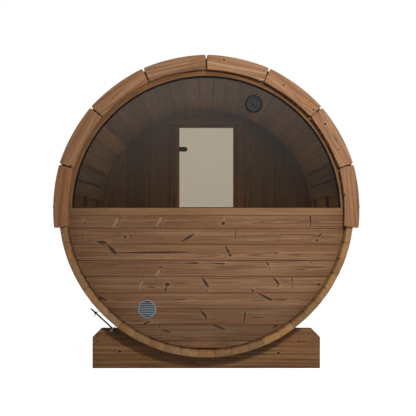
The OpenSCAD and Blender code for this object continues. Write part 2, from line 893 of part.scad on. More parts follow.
stave_group(0);  // staves_bottom
stave_group(1);  // staves_lower_right
stave_group(2);  // staves_upper_right
stave_group(3);  // staves_top
stave_group(4);  // staves_upper_left
stave_group(5);  // staves_lower_left
rear_wall();
window_sill();
window_frame();
window_gasket();
window_glass();
glass_vent();
wall_vent();
trim(-1, rear_end - fit - trim_t);  // rear_trim_left
trim(1, rear_end - fit - trim_t);  // rear_trim_right
trim(-1, front_end + fit);  // front_trim_left
trim(1, front_end + fit);  // front_trim_right
front_wall_part(-2 * wall_r, -frame_x - fit - wall_part_gap, -wall_r, wall_r);  // front_wall_left
front_wall_part(frame_x + fit + wall_part_gap, 2 * wall_r, -wall_r, wall_r);  // front_wall_right
front_wall_part(-frame_x - fit, frame_x + fit, frame_top + fit, wall_r);  // front_wall_header
front_wall_part(-frame_x - fit, frame_x + fit, -wall_r, frame_bottom - fit);  // front_wall_base
door_frame();
door_casing();
door_glass();
door_hinges();
hinge_brackets();
door_handle();
backrest(-1);  // left_backrest
backrest(1);  // right_backrest
wall_cleat(-1);  // left_wall_cleat
wall_cleat(1);  // right_wall_cleat
duckboard();
hoop(hoop_places[0]);  // hoop_rear
hoop(hoop_places[1]);  // hoop_middle
hoop(hoop_places[2]);  // hoop_front
tie_rod(hoop_places[0]);  // tie_rod_rear
tie_rod(hoop_places[1]);  // tie_rod_middle
tie_rod(hoop_places[2]);  // tie_rod_front
roof(-1);  // roof_left
roof(1);  // roof_right
drip_edge(-1);  // drip_edge_left
drip_edge(1);  // drip_edge_right
cradle(rear_end + cradle_inset);  // cradle_rear
cradle(front_end - cradle_inset - cradle_t);  // cradle_front
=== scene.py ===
"""A barrel sauna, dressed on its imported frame: staves, end walls, trim, door, hoops, roof and cradles.

Shapes are worked out in barrel millimetres: X across, Y along the barrel, Z up from the barrel's axis.
"""

import functools
import math

import bpy
import numpy as np
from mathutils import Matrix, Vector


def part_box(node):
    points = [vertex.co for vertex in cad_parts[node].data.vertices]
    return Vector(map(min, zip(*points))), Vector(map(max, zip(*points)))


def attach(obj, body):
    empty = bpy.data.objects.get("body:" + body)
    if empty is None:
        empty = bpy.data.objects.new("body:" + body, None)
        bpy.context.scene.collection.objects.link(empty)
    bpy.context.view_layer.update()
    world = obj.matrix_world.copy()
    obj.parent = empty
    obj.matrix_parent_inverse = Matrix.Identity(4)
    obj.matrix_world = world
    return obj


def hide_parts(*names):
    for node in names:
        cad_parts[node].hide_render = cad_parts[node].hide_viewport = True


bl_info = {
    "name": "Barrel sauna",
    "version": (1, 0, 0),
    "blender": (4, 5, 0),
    "location": "View3D > Sidebar > Sauna",
    "description": "Builds the boards, glass and metalwork of a barrel sauna on its frame",
    "category": "Object",
}

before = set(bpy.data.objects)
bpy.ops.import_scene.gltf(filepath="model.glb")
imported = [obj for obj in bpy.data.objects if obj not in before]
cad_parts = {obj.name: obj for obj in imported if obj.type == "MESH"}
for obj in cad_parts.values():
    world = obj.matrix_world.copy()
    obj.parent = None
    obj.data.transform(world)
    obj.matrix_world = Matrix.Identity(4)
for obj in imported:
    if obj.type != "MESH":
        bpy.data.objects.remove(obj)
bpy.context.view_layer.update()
MM = 0.001

# Places taken from the frame, in barrel millimetres
AXIS_Z = (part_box("staves_bottom")[0].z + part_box("staves_top")[1].z) / 2


def corners_of(node):
    """Lowest and highest corner of a CAD node in barrel millimetres."""
    return [(np.array(corner) - (0, 0, AXIS_Z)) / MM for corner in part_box(node)]


STAVES_LOW, STAVES_HIGH = corners_of("staves_bottom")
FACE_R = -STAVES_LOW[2]
REAR_END, FRONT_END = STAVES_LOW[1], STAVES_HIGH[1]
WALL_LOW, WALL_HIGH = corners_of("rear_wall")
WALL_R = -WALL_LOW[2]
INNER_R = WALL_R + 0.3
REAR_FACE, REAR_INSIDE = WALL_LOW[1], WALL_HIGH[1]
SILL_LOW, SILL_HIGH = corners_of("window_sill")
PANE_LOW, PANE_HIGH = corners_of("window_glass")
RING_LOW = corners_of("window_frame")[0]
GASKET_LOW, GASKET_HIGH = corners_of("window_gasket")
VALVE_LOW, VALVE_HIGH = corners_of("glass_vent")
VENT_LOW, VENT_HIGH = corners_of("wall_vent")
FRONT_LOW, FRONT_HIGH = corners_of("front_wall_left")
HEADER_LOW, HEADER_HIGH = corners_of("front_wall_header")
BASE_HIGH = corners_of("front_wall_base")[1]
FRAME_LOW, FRAME_HIGH = corners_of("door_frame")
CASING_LOW, CASING_HIGH = corners_of("door_casing")
DOOR_LOW, DOOR_HIGH = corners_of("door_glass")
HANDLE_LOW, HANDLE_HIGH = corners_of("door_handle")
BACKREST_LOW, BACKREST_HIGH = corners_of("right_backrest")
CLEAT_LOW, CLEAT_HIGH = corners_of("right_wall_cleat")
FLOOR_LOW, FLOOR_HIGH = corners_of("duckboard")
DRIP_LOW, DRIP_HIGH = corners_of("drip_edge_right")
ROOF_LOW, ROOF_HIGH = corners_of("roof_right")

X, Y, Z = np.eye(3)


def linear(hex_colour):
    """Linear red, green and blue of an sRGB hex colour."""
    channels = [int(hex_colour[i : i + 2], 16) / 255 for i in (1, 3, 5)]
    return tuple(c / 12.92 if c <= 0.04045 else ((c + 0.055) / 1.055) ** 2.4 for c in channels)


# ---------------------------------------------------------------- outlines and rings


def section(low, high, back, front, radius, steps=1, rows=2):
    """Closed outline of a board's cross-section as (across, depth).

    A rectangle whose four corners are quarter circles, all of one radius or one radius each from the low
    back corner round. One step makes them chamfers. rows is how many points lie along the front and back.
    """
    turn = np.radians(np.linspace(0, 90, steps + 1))
    r = np.broadcast_to(radius, 4)
    centres = [
        (low + r[0], back + r[0], 180),
        (high - r[1], back + r[1], 270),
        (high - r[2], front - r[2], 0),
        (low + r[3], front - r[3], 90),
    ]
    arcs = [
        np.column_stack([
            x + size * np.cos(np.radians(start) + turn),
            z + size * np.sin(np.radians(start) + turn),
        ])
        for size, (x, z, start) in zip(r, centres)
    ]
    back_row = np.linspace(arcs[0][-1], arcs[1][0], rows)[1:-1]
    front_row = np.linspace(arcs[2][-1], arcs[3][0], rows)[1:-1]
    return np.concatenate([arcs[0], back_row, arcs[1], arcs[2], front_row, arcs[3]])


def oblong(left, right, low, high):
    """The four corners of a rectangle."""
    return [(left, low), (right, low), (right, high), (left, high)]


def softened(corners, setback, steps=2):
    """Closed outline with each corner rounded.

    Between the two points a setback away from the corner runs a quadratic curve that the corner pulls.
    """
    corners = np.asarray(corners, float)
    reach = np.broadcast_to(np.asarray(setback, float), len(corners))[:, None]
    ends = []
    for turn in (1, -1):
        way = np.roll(corners, turn, 0) - corners
        ends.append(corners + reach * way / np.linalg.norm(way, axis=1)[:, None])
    s = np.linspace(0, 1, steps + 1)[None, :, None]
    curve = (1 - s) ** 2 * ends[0][:, None] + 2 * s * (1 - s) * corners[:, None] + s**2 * ends[1][:, None]
    return curve.reshape(-1, 2)


def inset(outline, depth):
    """Outline moved inwards by a depth, each corner along the line that halves it."""
    before = outline - np.roll(outline, 1, 0)
    after = np.roll(before, -1, 0)
    one, other = (e[:, ::-1] * (-1, 1) / np.linalg.norm(e, axis=1)[:, None] for e in (before, after))
    share = 1 + np.sum(one * other, 1)
    return outline + depth * (one + other) / np.maximum(share, 0.4)[:, None]


def at(along, outline):
    """One ring: the outline at a place along the board, which is a number or one number a point."""
    return np.column_stack([np.broadcast_to(along, len(outline)), outline])


def spun(outline, angle, side=1):
    """One ring: an outline of (radius, y) turned to an angle in radians round the barrel's axis."""
    radius, along = np.transpose(outline)
    return np.column_stack([side * radius * math.cos(angle), along, radius * math.sin(angle)])


def laid(outline, low, high, ease, joints=()):
    """Rings and cells of a board: its outline carried along it, with the edges of its ends eased.

    low and high give where the board ends for each height across it, so that a board can end on a
    circle or a mitre. joints are the fractions of its length where a new cell of the pattern starts.
    """
    ends = [(inset(outline, ease), 0.0), (inset(outline, 0.35 * ease), 0.3 * ease), (outline, ease)]
    rings = [at(low(shape[:, 0]) + step, shape) for shape, step in ends]
    start, stop = low(outline[:, 0]) + ease, high(outline[:, 0]) - ease
    rings += [at(start + (stop - start) * joint, outline) for joint in joints]
    rings += [at(high(shape[:, 0]) - step, shape) for shape, step in reversed(ends)]
    last = len(joints)
    return np.array(rings), [0, 0, *range(last + 1), last, last]


def fixed(value):
    """A board's end that is square to it."""
    return lambda across: np.full(np.shape(across), float(value))


def on_circle(radius, side):
    """A board's end that lies on a circle about the barrel's axis."""
    return lambda across: side * np.sqrt(np.maximum(radius**2 - np.asarray(across) ** 2, 1.0))


def ring_of(radius, count, along=0.0, phase=0.0):
    """A circle of points at a place along its axis."""
    angle = np.linspace(0, 2 * np.pi, count, endpoint=False) + phase
    return np.column_stack([np.full(count, float(along)), radius * np.cos(angle), radius * np.sin(angle)])


def placed(origin, along, across, depth):
    """A rule that carries (along, across, depth) into barrel millimetres."""
    axes = np.array([along, across, depth], float)
    return lambda local: np.asarray(origin, float) + local @ axes


def turned_axes(angle):
    """Outward and sideways directions at an angle in degrees round the barrel, from X towards Z."""
    c, s = math.cos(math.radians(angle)), math.sin(math.radians(angle))
    return np.array([c, 0, s]), np.array([-s, 0, c])


NO_MARK = (-900.0, 0.0, 1.0, -900.0, 0.0, 1.0, 0.0, 1.0)


class Piece:
    """Gathers the solids of one visible piece and what its wood pattern reads, then makes the object."""

    def __init__(self, name, slot, seed=1, knotty=0.5):
        self.name, self.slot, self.knotty = name, slot, knotty
        self.random = np.random.default_rng(seed)
        self.points, self.faces, self.grain = [], [], []
        self.board, self.pith, self.knot, self.spike, self.way = [], [], [], [], []
        self.count = 0

    def solid(
        self, rings, cells=None, place=None, fibres=None, marks=None, closed=False, tone=None, pith=None
    ):
        """Adds the surface through the rings, each a closed outline, capped unless it is closed.

        The faces are turned over when the volume that they enclose comes out negative. fibres carries a
        point to (along, across, depth) of the grain, which is otherwise the board's own frame.
        """
        rings = np.asarray(rings, float)
        count, size = rings.shape[:2]
        local = rings.reshape(-1, 3)
        points = place(local) if place else local
        grain = fibres(points) if fibres else local
        spans = count if closed else count - 1
        i, j = np.meshgrid(np.arange(spans), np.arange(size), indexing="ij")
        up, side = (i + 1) % count, (j + 1) % size
        quads = np.stack([i * size + j, i * size + side, up * size + side, up * size + j], -1)
        quads = quads.reshape(-1, 4)
        caps = [] if closed else [np.arange(size)[::-1], (count - 1) * size + np.arange(size)]
        triangles = [quads[:, [0, 1, 2]], quads[:, [0, 2, 3]]]
        for cap in caps:
            triangles.append(np.column_stack([np.full(size - 2, cap[0]), cap[1:-1], cap[2:]]))
        a, b, c = (points[np.concatenate(triangles)[:, k]] for k in range(3))
        turn = 1 if np.sum(a * np.cross(b, c)) > 0 else -1
        self.faces += (quads[:, ::turn] + self.count).tolist()
        self.faces += [(cap[::turn] + self.count).tolist() for cap in caps]
        self.points.append(points)
        self.count += len(points)
        self.note(grain, rings, cells, size, spans, bool(caps), marks, tone, pith)

    def note(self, grain, rings, cells, size, spans, capped, marks, tone, pith):
        """Writes down for each face its board's tone, pith line, and the knot and spike in its cell."""
        random = self.random
        cells = np.zeros(spans, int) if cells is None else np.asarray(cells)
        shift = random.uniform(0, 40000)
        low, high = grain.min(0), grain.max(0)
        light, hue, aside = random.uniform((0.25, 0.25, -0.7), (0.75, 0.75, 0.7))
        deep, ring_gap = random.uniform((25, 3.6), (90, 6.0))
        side = 1 if random.uniform() < 0.6 else -1
        if marks is None:
            starts = [rings[np.argmax(cells == cell), :, 0].mean() for cell in range(cells[-1] + 1)]
            marks = self.scattered(low, high, starts)
        marks = np.array(marks, float)
        marks[:, [0, 3]] += shift
        self.grain.append(grain + (shift, 0, 0))
        if tone is not None:
            light, hue = tone if isinstance(tone, tuple) else (tone, hue)
        if pith is None:
            pith = ((low[1] + high[1]) / 2 + aside * (high[1] - low[1]) / 2, side * deep, ring_gap)
        of_face = np.concatenate([np.repeat(cells, size), [0, cells[-1]] if capped else []]).astype(int)
        self.board.append(np.full((len(of_face), 3), (light, hue, 0)))
        self.pith.append(np.full((len(of_face), 3), pith))
        self.knot.append(marks[of_face, 0:3])
        self.spike.append(marks[of_face, 3:6])
        lean = marks[of_face, 6]
        self.way.append(np.column_stack([np.cos(lean), np.sin(lean), marks[of_face, 7]]))

    def scattered(self, low, high, starts):
        """Knots and spikes drawn at random, at most one of each a cell of the board."""
        starts = starts if len(starts) > 1 else [low[0]]
        stops = [*starts[1:], high[0]]
        marks = np.tile(NO_MARK, (len(starts), 1))
        for row, start, stop in zip(marks, starts, stops):
            knot_at, up, radius, has_knot, has_spike, lean, reach = self.random.uniform(size=7)
            where = start + (stop - start) * (0.25 + 0.5 * knot_at)
            height = low[1] + (high[1] - low[1]) * (0.2 + 0.6 * up)
            if has_knot < self.knotty:
                row[:3] = where, height, 3 + 6 * radius
            if has_spike < 0.4 * self.knotty:
                row[3:] = where + 12, height + 14, 12 + 16 * reach, 0.5 + 1.4 * lean, 3.5
        return marks

    def finish(self, *replaced, body="cabin", material=None, sharp=38):
        """Makes the mesh object, hides the CAD nodes it stands for and lets it ride on its body."""
        mesh = bpy.data.meshes.new(self.name)
        points = np.concatenate(self.points) * MM + (0, 0, AXIS_Z)
        mesh.from_pydata(points.tolist(), [], self.faces)
        for name, domain, rows, scale in (
            ("grain", "CORNER", [np.concatenate(self.grain)[np.concatenate(self.faces)]], MM),
            ("board", "FACE", self.board, 1.0),
            ("pith", "FACE", self.pith, MM),
            ("knot", "FACE", self.knot, MM),
            ("spike", "FACE", self.spike, MM),
            ("way", "FACE", self.way, (1, 1, MM)),
        ):
            values = (np.concatenate(rows) * scale).astype(np.float32)
            mesh.attributes.new(name, "FLOAT_VECTOR", domain).data.foreach_set("vector", values.ravel())
        mesh.shade_smooth()
        mesh.set_sharp_from_angle(angle=math.radians(sharp))
        mesh.materials.append(material or finish_of(self.slot))
        made = bpy.data.objects.new(self.name, mesh)
        bpy.context.scene.collection.objects.link(made)
        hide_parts(*replaced)
        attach(made, body)
        return made


# ---------------------------------------------------------------- finishes

# The setting that says how each kind of node works
MODES = {
    "Math": "operation", "VectorMath": "operation", "MapRange": "interpolation_type", "Mix": "blend_type",
}


def add(tree, kind, *values, stops=(), **settings):
    """Adds a node with its settings and links, and returns it.

    Its inputs come in order, or as one dictionary by name or number. Each is a value, a socket, or a node,
    which stands for its first output. A word after a colon says how the node works, and a kind in capitals
    is a sum. stops are the places and colours of a ramp.
    """
    kind, _, mode = ("Math:" + kind if kind.isupper() else kind).partition(":")
    made = tree.nodes.new("ShaderNode" + kind)
    if mode:
        settings[MODES[kind]] = mode
    for name, value in settings.items():
        setattr(made, name, value)
    for number, (where, colour) in enumerate(stops):
        ramp = made.color_ramp.elements
        stop = ramp[number] if number < 2 else ramp.new(where)
        stop.position = where
        stop.color = (*colour, 1)
    inputs = values[0] if values and isinstance(values[0], dict) else dict(enumerate(values))
    for key, value in inputs.items():
        socket = made.inputs[key]
        if isinstance(value, bpy.types.Node):
            value = value.outputs[0]
        if isinstance(value, bpy.types.NodeSocket):
            tree.links.new(value, socket)
        else:
            socket.default_value = (*value, 1) if socket.type == "RGBA" else value
    return made


def material_of(name, maker, *colours, **options):
    """A material whose surface is the shader that its maker returns."""
    material = bpy.data.materials.new(name)
    material.use_nodes = True
    tree = material.node_tree
    tree.nodes.clear()
    add(tree, "OutputMaterial", {"Surface": maker(tree, *colours, **options)})
    return material


def shades(base, *shares):
    """Darker and lighter shades of a colour."""
    return np.minimum(1, np.outer(shares, base))


# Late wood, its red streaks, the heart of a knot and the pale wood round it, as shares of the early wood
WOOD_SHADES = ((0.41, 0.36, 0.38), (0.75, 0.62, 0.56), (0.1, 0.09, 0.11), (1.55, 1.85, 2.0))
# Each pattern in wood: its waves a metre along, across and through the board, its detail and roughness
WOOD_NOISES = (
    ((160.0, 160.0, 20.0), 2.0, 0.5),  # the outline of a knot
    ((0.8, 5.0, 5.0), 1.0, 0.5),  # the slow drift of the rings
    ((3.5, 22.0, 22.0), 2.0, 0.5),  # their waver
    ((1.6, 95.0, 95.0), 3.0, 0.6),  # dark streaks
    ((1.3, 60.0, 60.0), 3.0, 0.5),  # pale streaks
    ((0.8, 14.0, 14.0), 2.0, 0.5),  # broad red bands
    ((18.0, 900.0, 900.0), 1.0, 0.5),  # fibres, drawn as coarse as they need to show
    ((26.0, 420.0, 420.0), 2.0, 0.5),  # flecks
)


def wood(tree, early, ring_depth=0.5, roughness=0.62, figure=1.0):
    """Heat-treated pine, planed: brown early wood with darker late-wood lines, streaks and knots.

    The growth rings are cylinders about each board's pith line, so a face shows long wavering lines and
    an end shows arcs. A knot is a dark disc with a pale rim that pushes the rings aside, and a spike is a
    branch sawn along its length. figure is how strongly the streaks show.
    """
    n = functools.partial(add, tree)
    grain = n("Attribute", attribute_name="grain").outputs["Vector"]
    along, across, depth = n("SeparateXYZ", grain).outputs
    board, pith, knot, spike, way = (
        n("SeparateXYZ", n("Attribute", attribute_name=name).outputs["Vector"]).outputs
        for name in ("board", "pith", "knot", "spike", "way")
    )
    tone, hue = board[0], board[1]
    knot_r, spike_l, spike_w = knot[2], spike[2], way[2]
    outline, drift, waver, streak, pale_streak, broad, fibre, fleck = (
        n("TexNoise", {
            "Vector": n("VectorMath:MULTIPLY", grain, waves),
            "Scale": 1.0,
            "Detail": detail,
            "Roughness": rough,
        })
        for waves, detail, rough in WOOD_NOISES
    )
    wobble = n("SUBTRACT", outline, 0.5)

    # Knot: distance from its centre, a little longer along the grain
    away = n("MULTIPLY", n("SUBTRACT", along, knot[0]), 0.8)
    aside = n("SUBTRACT", across, knot[1])
    knot_d = n("SQRT", n("ADD", n("POWER", away, 2.0), n("POWER", aside, 2.0)))
    knot_d = n("ADD", knot_d, n("MULTIPLY", wobble, 0.004))
    knot_u = n("DIVIDE", knot_d, knot_r)
    has_knot = n("GREATER_THAN", knot_r, 0.0015)
    knot_core = n("MULTIPLY", n("MapRange:SMOOTHSTEP", knot_u, 1.45, 0.95), has_knot)
    knot_rim = n("MULTIPLY", n("MapRange:SMOOTHSTEP", knot_u, 2.6, 1.3), has_knot)

    # Spike: an ellipse leaning across the grain and growing wider towards its outer end
    from_along = n("SUBTRACT", along, spike[0])
    from_across = n("SUBTRACT", across, spike[1])
    lengthwise = n("ADD", n("MULTIPLY", from_along, way[0]), n("MULTIPLY", from_across, way[1]))
    sideways = n("SUBTRACT", n("MULTIPLY", from_across, way[0]), n("MULTIPLY", from_along, way[1]))
    reach = n("DIVIDE", lengthwise, spike_l)
    spread = n("MULTIPLY", spike_w, n("ADD", 1.0, n("MULTIPLY", reach, 0.45)))
    spike_u = n("SQRT", n("ADD", n("POWER", reach, 2.0), n("POWER", n("DIVIDE", sideways, spread), 2.0)))
    spike_u = n("ADD", spike_u, n("MULTIPLY", wobble, 1.6))
    has_spike = n("GREATER_THAN", spike_l, 0.0015)
    spike_in = n("MULTIPLY", n("MapRange:SMOOTHSTEP", spike_u, 1.4, 0.8), has_spike)
    # One of negative width is pale, with a dark edge
    is_dark = n("GREATER_THAN", spike_w, 0.0)
    is_pale = n("SUBTRACT", 1.0, is_dark)
    spike_core = n("MULTIPLY", spike_in, is_dark)
    inside = n("MapRange:SMOOTHSTEP", spike_u, 1.7, 1.2)
    outside = n("MapRange:SMOOTHSTEP", spike_u, 0.7, 1.2)
    spike_edge = n("MULTIPLY", n("MULTIPLY", n("MULTIPLY", inside, outside), has_spike), is_pale)
    spike_rim = n("MULTIPLY", n("MULTIPLY", n("MapRange:SMOOTHSTEP", spike_u, 3.2, 0.9), has_spike), 0.35)
    spike_rim = n("MAXIMUM", spike_rim, n("MULTIPLY", spike_in, is_pale))

    # Growth rings, pushed aside by the knot
    drift = n("MULTIPLY", n("SUBTRACT", drift, 0.5), 0.045)
    waver = n("MULTIPLY", n("SUBTRACT", waver, 0.5), 0.006)
    ring_x, ring_z = n("SUBTRACT", across, pith[0]), n("SUBTRACT", depth, pith[1])
    ring_r = n("SQRT", n("ADD", n("POWER", ring_x, 2.0), n("POWER", ring_z, 2.0)))
    bulge = n("MULTIPLY", n("POWER", 2.718, n("MULTIPLY", n("POWER", knot_u, 2.0), -0.14)), knot_r)
    bulge = n("MULTIPLY", n("MULTIPLY", bulge, 1.3), has_knot)
    ring_r = n("ADD", n("ADD", ring_r, drift), n("ADD", waver, bulge))
    ring_t = n("FRACT", n("DIVIDE", ring_r, pith[2]))
    late = n("MapRange:SMOOTHSTEP", ring_t, 0.35, 0.86)
    late = n("SUBTRACT", late, n("MapRange:SMOOTHSTEP", ring_t, 0.9, 1.0))

    light = n("ADD", n("MULTIPLY", tone, 0.62), 0.69)
    light = n("MULTIPLY", light, n("MapRange:SMOOTHSTEP", fibre, 0.25, 0.75, 0.93, 1.06))
    light = n("MULTIPLY", light, n("MapRange:SMOOTHSTEP", fleck, 0.3, 0.7, 0.9, 1.08))
    warm = n("MULTIPLY", n("SUBTRACT", hue, 0.5), 0.3)
    dark, red, core, pale = (tuple(e * k for e, k in zip(early, shade)) for shade in WOOD_SHADES)
    colour = early
    for blend, share, shade in (
        ("MIX", n("MULTIPLY", late, ring_depth), dark),
        ("MIX", n("MapRange:SMOOTHSTEP", streak, 0.4, 0.66, 0.0, 0.9 * figure), dark),
        ("MIX", n("MapRange:SMOOTHSTEP", pale_streak, 0.46, 0.68, 0.0, 0.4 * figure), pale),
        ("MIX", n("MapRange:SMOOTHSTEP", broad, 0.42, 0.72, 0.0, 0.6), red),
        ("MIX", n("MULTIPLY", n("MAXIMUM", n("MULTIPLY", knot_rim, 0.6), spike_rim), 0.5), pale),
        ("MULTIPLY", 1.0, n("CombineColor", light, light, light)),
        ("MULTIPLY", 1.0, n("CombineColor", n("ADD", 1.0, warm), 1.0, n("SUBTRACT", 1.0, warm))),
        ("MIX", n("MULTIPLY", n("MAXIMUM", spike_core, n("MULTIPLY", spike_edge, 0.6)), 0.88), core),
        ("MIX", n("MULTIPLY", knot_core, 0.9), core),
    ):
        colour = n("Mix:" + blend, {0: share, 6: colour, 7: shade}, data_type="RGBA").outputs[2]

    relief = n("ADD", n("MULTIPLY", fibre, 0.5), n("MULTIPLY", streak, 0.4))
    relief = n("ADD", n("MULTIPLY", late, -0.3), relief)
    relief = n("SUBTRACT", relief, n("MULTIPLY", n("MAXIMUM", knot_core, spike_core), 0.6))
    return n("BsdfPrincipled", {
        "Base Color": colour,
        "Roughness": n("MapRange:SMOOTHSTEP", streak, 0.2, 0.8, roughness - 0.06, roughness + 0.1),
        "Normal": n("Bump", {"Strength": 0.55, "Distance": 0.0008, "Height": relief}),
        "Specular IOR Level": 0.35,
    })


def coated(tree, base, roughness, metallic=0.0, pits=0.0012, depth=0.25, spread=0.12):
    """A coated, plated or moulded surface: one colour that varies a little, with an orange-peel skin."""
    place = add(tree, "TexCoord").outputs["Object"]
    skin = add(tree, "TexNoise", {"Vector": place, "Scale": 0.5 / pits, "Detail": 2.0})
    cloud = add(tree, "TexNoise", {"Vector": place, "Scale": 9.0, "Detail": 4.0})
    tint = add(tree, "ValToRGB", cloud, stops=zip((0.3, 0.7), shades(base, 1 - spread, 1 + spread)))
    return add(tree, "BsdfPrincipled", {
        "Base Color": tint,
        "Roughness": add(tree, "MapRange", cloud, 0.3, 0.7, roughness - 0.05, roughness + 0.08),
        "Metallic": metallic,
        "Normal": add(tree, "Bump", {"Strength": depth, "Distance": pits * 0.2, "Height": skin}),
    })


def zinc(tree, base):
    """Zinc plated steel: bright grey with the faint patches of the plating's crystals."""
    place = add(tree, "TexCoord").outputs["Object"]
    spangle = add(tree, "TexVoronoi", {"Vector": place, "Scale": 140.0}).outputs
    tint = add(tree, "ValToRGB", spangle["Color"], stops=zip((0, 1), shades(base, 0.8, 1.25)))
    rough = add(tree, "MapRange", spangle["Distance"], 0.0, 0.8, 0.3, 0.5)
    return add(tree, "BsdfPrincipled", {"Base Color": tint, "Metallic": 0.85, "Roughness": rough})


def satin_aluminium(tree, base):
    """Anodised aluminium, satin: cool grey, brushed level, so that highlights spread sideways."""
    place = add(tree, "TexCoord").outputs["Object"]
    stretched = add(tree, "VectorMath:MULTIPLY", place, (40.0, 40.0, 1500.0))
    brush = add(tree, "TexNoise", {"Vector": stretched, "Scale": 1.0, "Detail": 3.0})
    return add(tree, "BsdfPrincipled", {
        "Base Color": add(tree, "ValToRGB", brush, stops=zip((0.3, 0.7), shades(base, 0.8, 1.25))),
        "Metallic": 0.25,
        "Roughness": add(tree, "MapRange", brush, 0.3, 0.7, 0.38, 0.55),
        "Normal": add(tree, "Bump", {"Strength": 0.2, "Distance": 0.0002, "Height": brush}),
    })


def shingle(tree, base):
    """Bitumen shingles with crushed slate pressed in: charcoal granules of mixed greys, quite rough."""
    place = add(tree, "TexCoord").outputs["Object"]
    tone = add(tree, "SeparateXYZ", add(tree, "Attribute", attribute_name="board").outputs["Vector"])
    grit = add(tree, "TexVoronoi", {"Vector": place, "Scale": 320.0}).outputs
    patch = add(tree, "TexNoise", {"Vector": place, "Scale": 12.0, "Detail": 3.0})
    mixed = add(tree, "ADD", add(tree, "MULTIPLY", grit["Color"], 0.6), add(tree, "MULTIPLY", patch, 0.4))
    tint = add(tree, "ValToRGB", mixed, stops=zip((0.25, 0.85), shades(base, 0.3, 2.6)))
    share = add(tree, "ADD", add(tree, "MULTIPLY", tone, 0.8), 0.6)
    shade = add(tree, "CombineColor", share, share, share)
    colour = add(tree, "Mix:MULTIPLY", {0: 1.0, 6: tint, 7: shade}, data_type="RGBA")
    return add(tree, "BsdfPrincipled", {
        "Base Color": colour.outputs[2],
        "Roughness": 0.92,
        "Normal": add(tree, "Bump", {"Strength": 0.8, "Distance": 0.0012, "Height": grit["Distance"]}),
        "Specular IOR Level": 0.3,
    })


def pane(tree, tint, haze=0.0):
    """Toughened glass: what is behind shows in the glass's tint, and the surface mirrors at a slant.

    Each of the two faces passes the tint once and mirrors 4 percent, rising with the fifth power of the
    slant. haze is the share of light that a satin etch scatters.
    """
    place = add(tree, "TexCoord").outputs["Object"]
    smear = add(tree, "TexNoise", {"Vector": place, "Scale": 3.0, "Detail": 3.0})
    through = add(tree, "BsdfTransparent", tint)
    if haze:
        through = add(tree, "MixShader", haze, through, add(tree, "BsdfTranslucent", shades(tint, 0.93)[0]))
    mirror = add(tree, "BsdfGlossy", {
        "Color": (1, 1, 1), "Roughness": add(tree, "MapRange", smear, 0.4, 0.7, 0.0, 0.02),
    })
    facing = add(tree, "LayerWeight", {"Blend": 0.5}).outputs["Facing"]
    share = add(tree, "ADD", add(tree, "MULTIPLY", add(tree, "POWER", facing, 5.0), 0.96), 0.04)
    return add(tree, "MixShader", share, through, mirror)


def plaster(tree):
    """Pale plaster that glows a little to the eye, as a light table does, but not to what stands on it."""
    place = add(tree, "TexCoord").outputs["Object"]
    cloud = add(tree, "TexNoise", {"Vector": place, "Scale": 1.5, "Detail": 3.0})
    stops = (0, linear("#dadad9")), (1, linear("#dededd"))
    glow = add(tree, "MULTIPLY", add(tree, "LightPath").outputs["Is Camera Ray"], FLOOR_GLOW)
    return add(tree, "BsdfPrincipled", {
        "Base Color": add(tree, "ValToRGB", cloud, stops=stops),
        "Roughness": 0.9,
        "Emission Color": (1, 1, 1),
        "Emission Strength": glow,
    })


# How each slot is finished: the maker, the material's name, the colour's name and the rest
FINISHES = {
    "stave_wood": (wood, "Stave pine, planed", "stave_wood", {"ring_depth": 0.6, "figure": 0.5}),
    "wall_wood": (wood, "Wall pine, planed", "wall_wood", {"ring_depth": 0.7, "figure": 0.75}),
    "sill_wood": (wood, "Sill pine, planed", "sill_wood", {"ring_depth": 0.35, "figure": 0.5}),
    "trim_wood": (wood, "Trim pine, sanded", "trim_wood", {"ring_depth": 0.6, "figure": 0.85}),
    "frame_wood": (wood, "Door frame pine, planed", "wall_wood", {}),
    "handle_wood": (wood, "Handle pine, sanded", "sill_wood", {"ring_depth": 0.35, "roughness": 0.5}),
    "inner_wood": (wood, "Inner pine, planed", "inner_wood", {"figure": 0.5}),
    "cradle_wood": (wood, "Cradle pine, sawn", "cradle_wood", {"roughness": 0.72}),
    "tinted_glass": (pane, "Bronze toughened glass", "tinted_glass", {}),
    "door_glass": (pane, "Satin toughened glass", "door_glass", {"haze": 0.03}),
    "gasket_rubber": (coated, "Black rubber", "rubber", {"roughness": 0.7, "pits": 0.002}),
    "vent_plastic": (coated, "Moulded ABS, dark grey", "plastic", {"roughness": 0.42, "pits": 0.0015}),
    "vent_aluminium": (satin_aluminium, "Anodised aluminium, satin", "aluminium", {}),
    "black_metal": (coated, "Powder-coated steel, black", "black_steel", {"roughness": 0.45}),
    "hoop_steel": (coated, "Coated strap steel, black", "black_steel", {"roughness": 0.4, "metallic": 0.3}),
    "lug_steel": (zinc, "Zinc plated steel", "zinc", {}),
    "rod_steel": (
        coated, "Blackened threaded steel", "rod_steel",
        {"roughness": 0.38, "metallic": 0.8, "pits": 0.003},
    ),
    "roof_bitumen": (shingle, "Bitumen shingles", "shingles", {}),
    "drip_metal": (coated, "Coated sheet steel, black", "black_steel", {"roughness": 0.42, "metallic": 0.2}),
}
_made = {}


def finish_of(slot):
    """The material of a slot, made the first time it is asked for."""
    if slot not in _made:
        maker, name, colour, options = FINISHES[slot]
        base = tuple(getattr(bpy.context.scene.sauna_colours, colour))
        _made[slot] = material_of(name, maker, base, **options)
    return _made[slot]


# ---------------------------------------------------------------- sizes and colours a user would change


def length(name, description, millimetres, lowest=0.5):
    """A size that the user can change."""
    return bpy.props.FloatProperty(
        name=name, description=description, unit="LENGTH", precision=4,
        default=millimetres * MM, min=lowest * MM,
    )


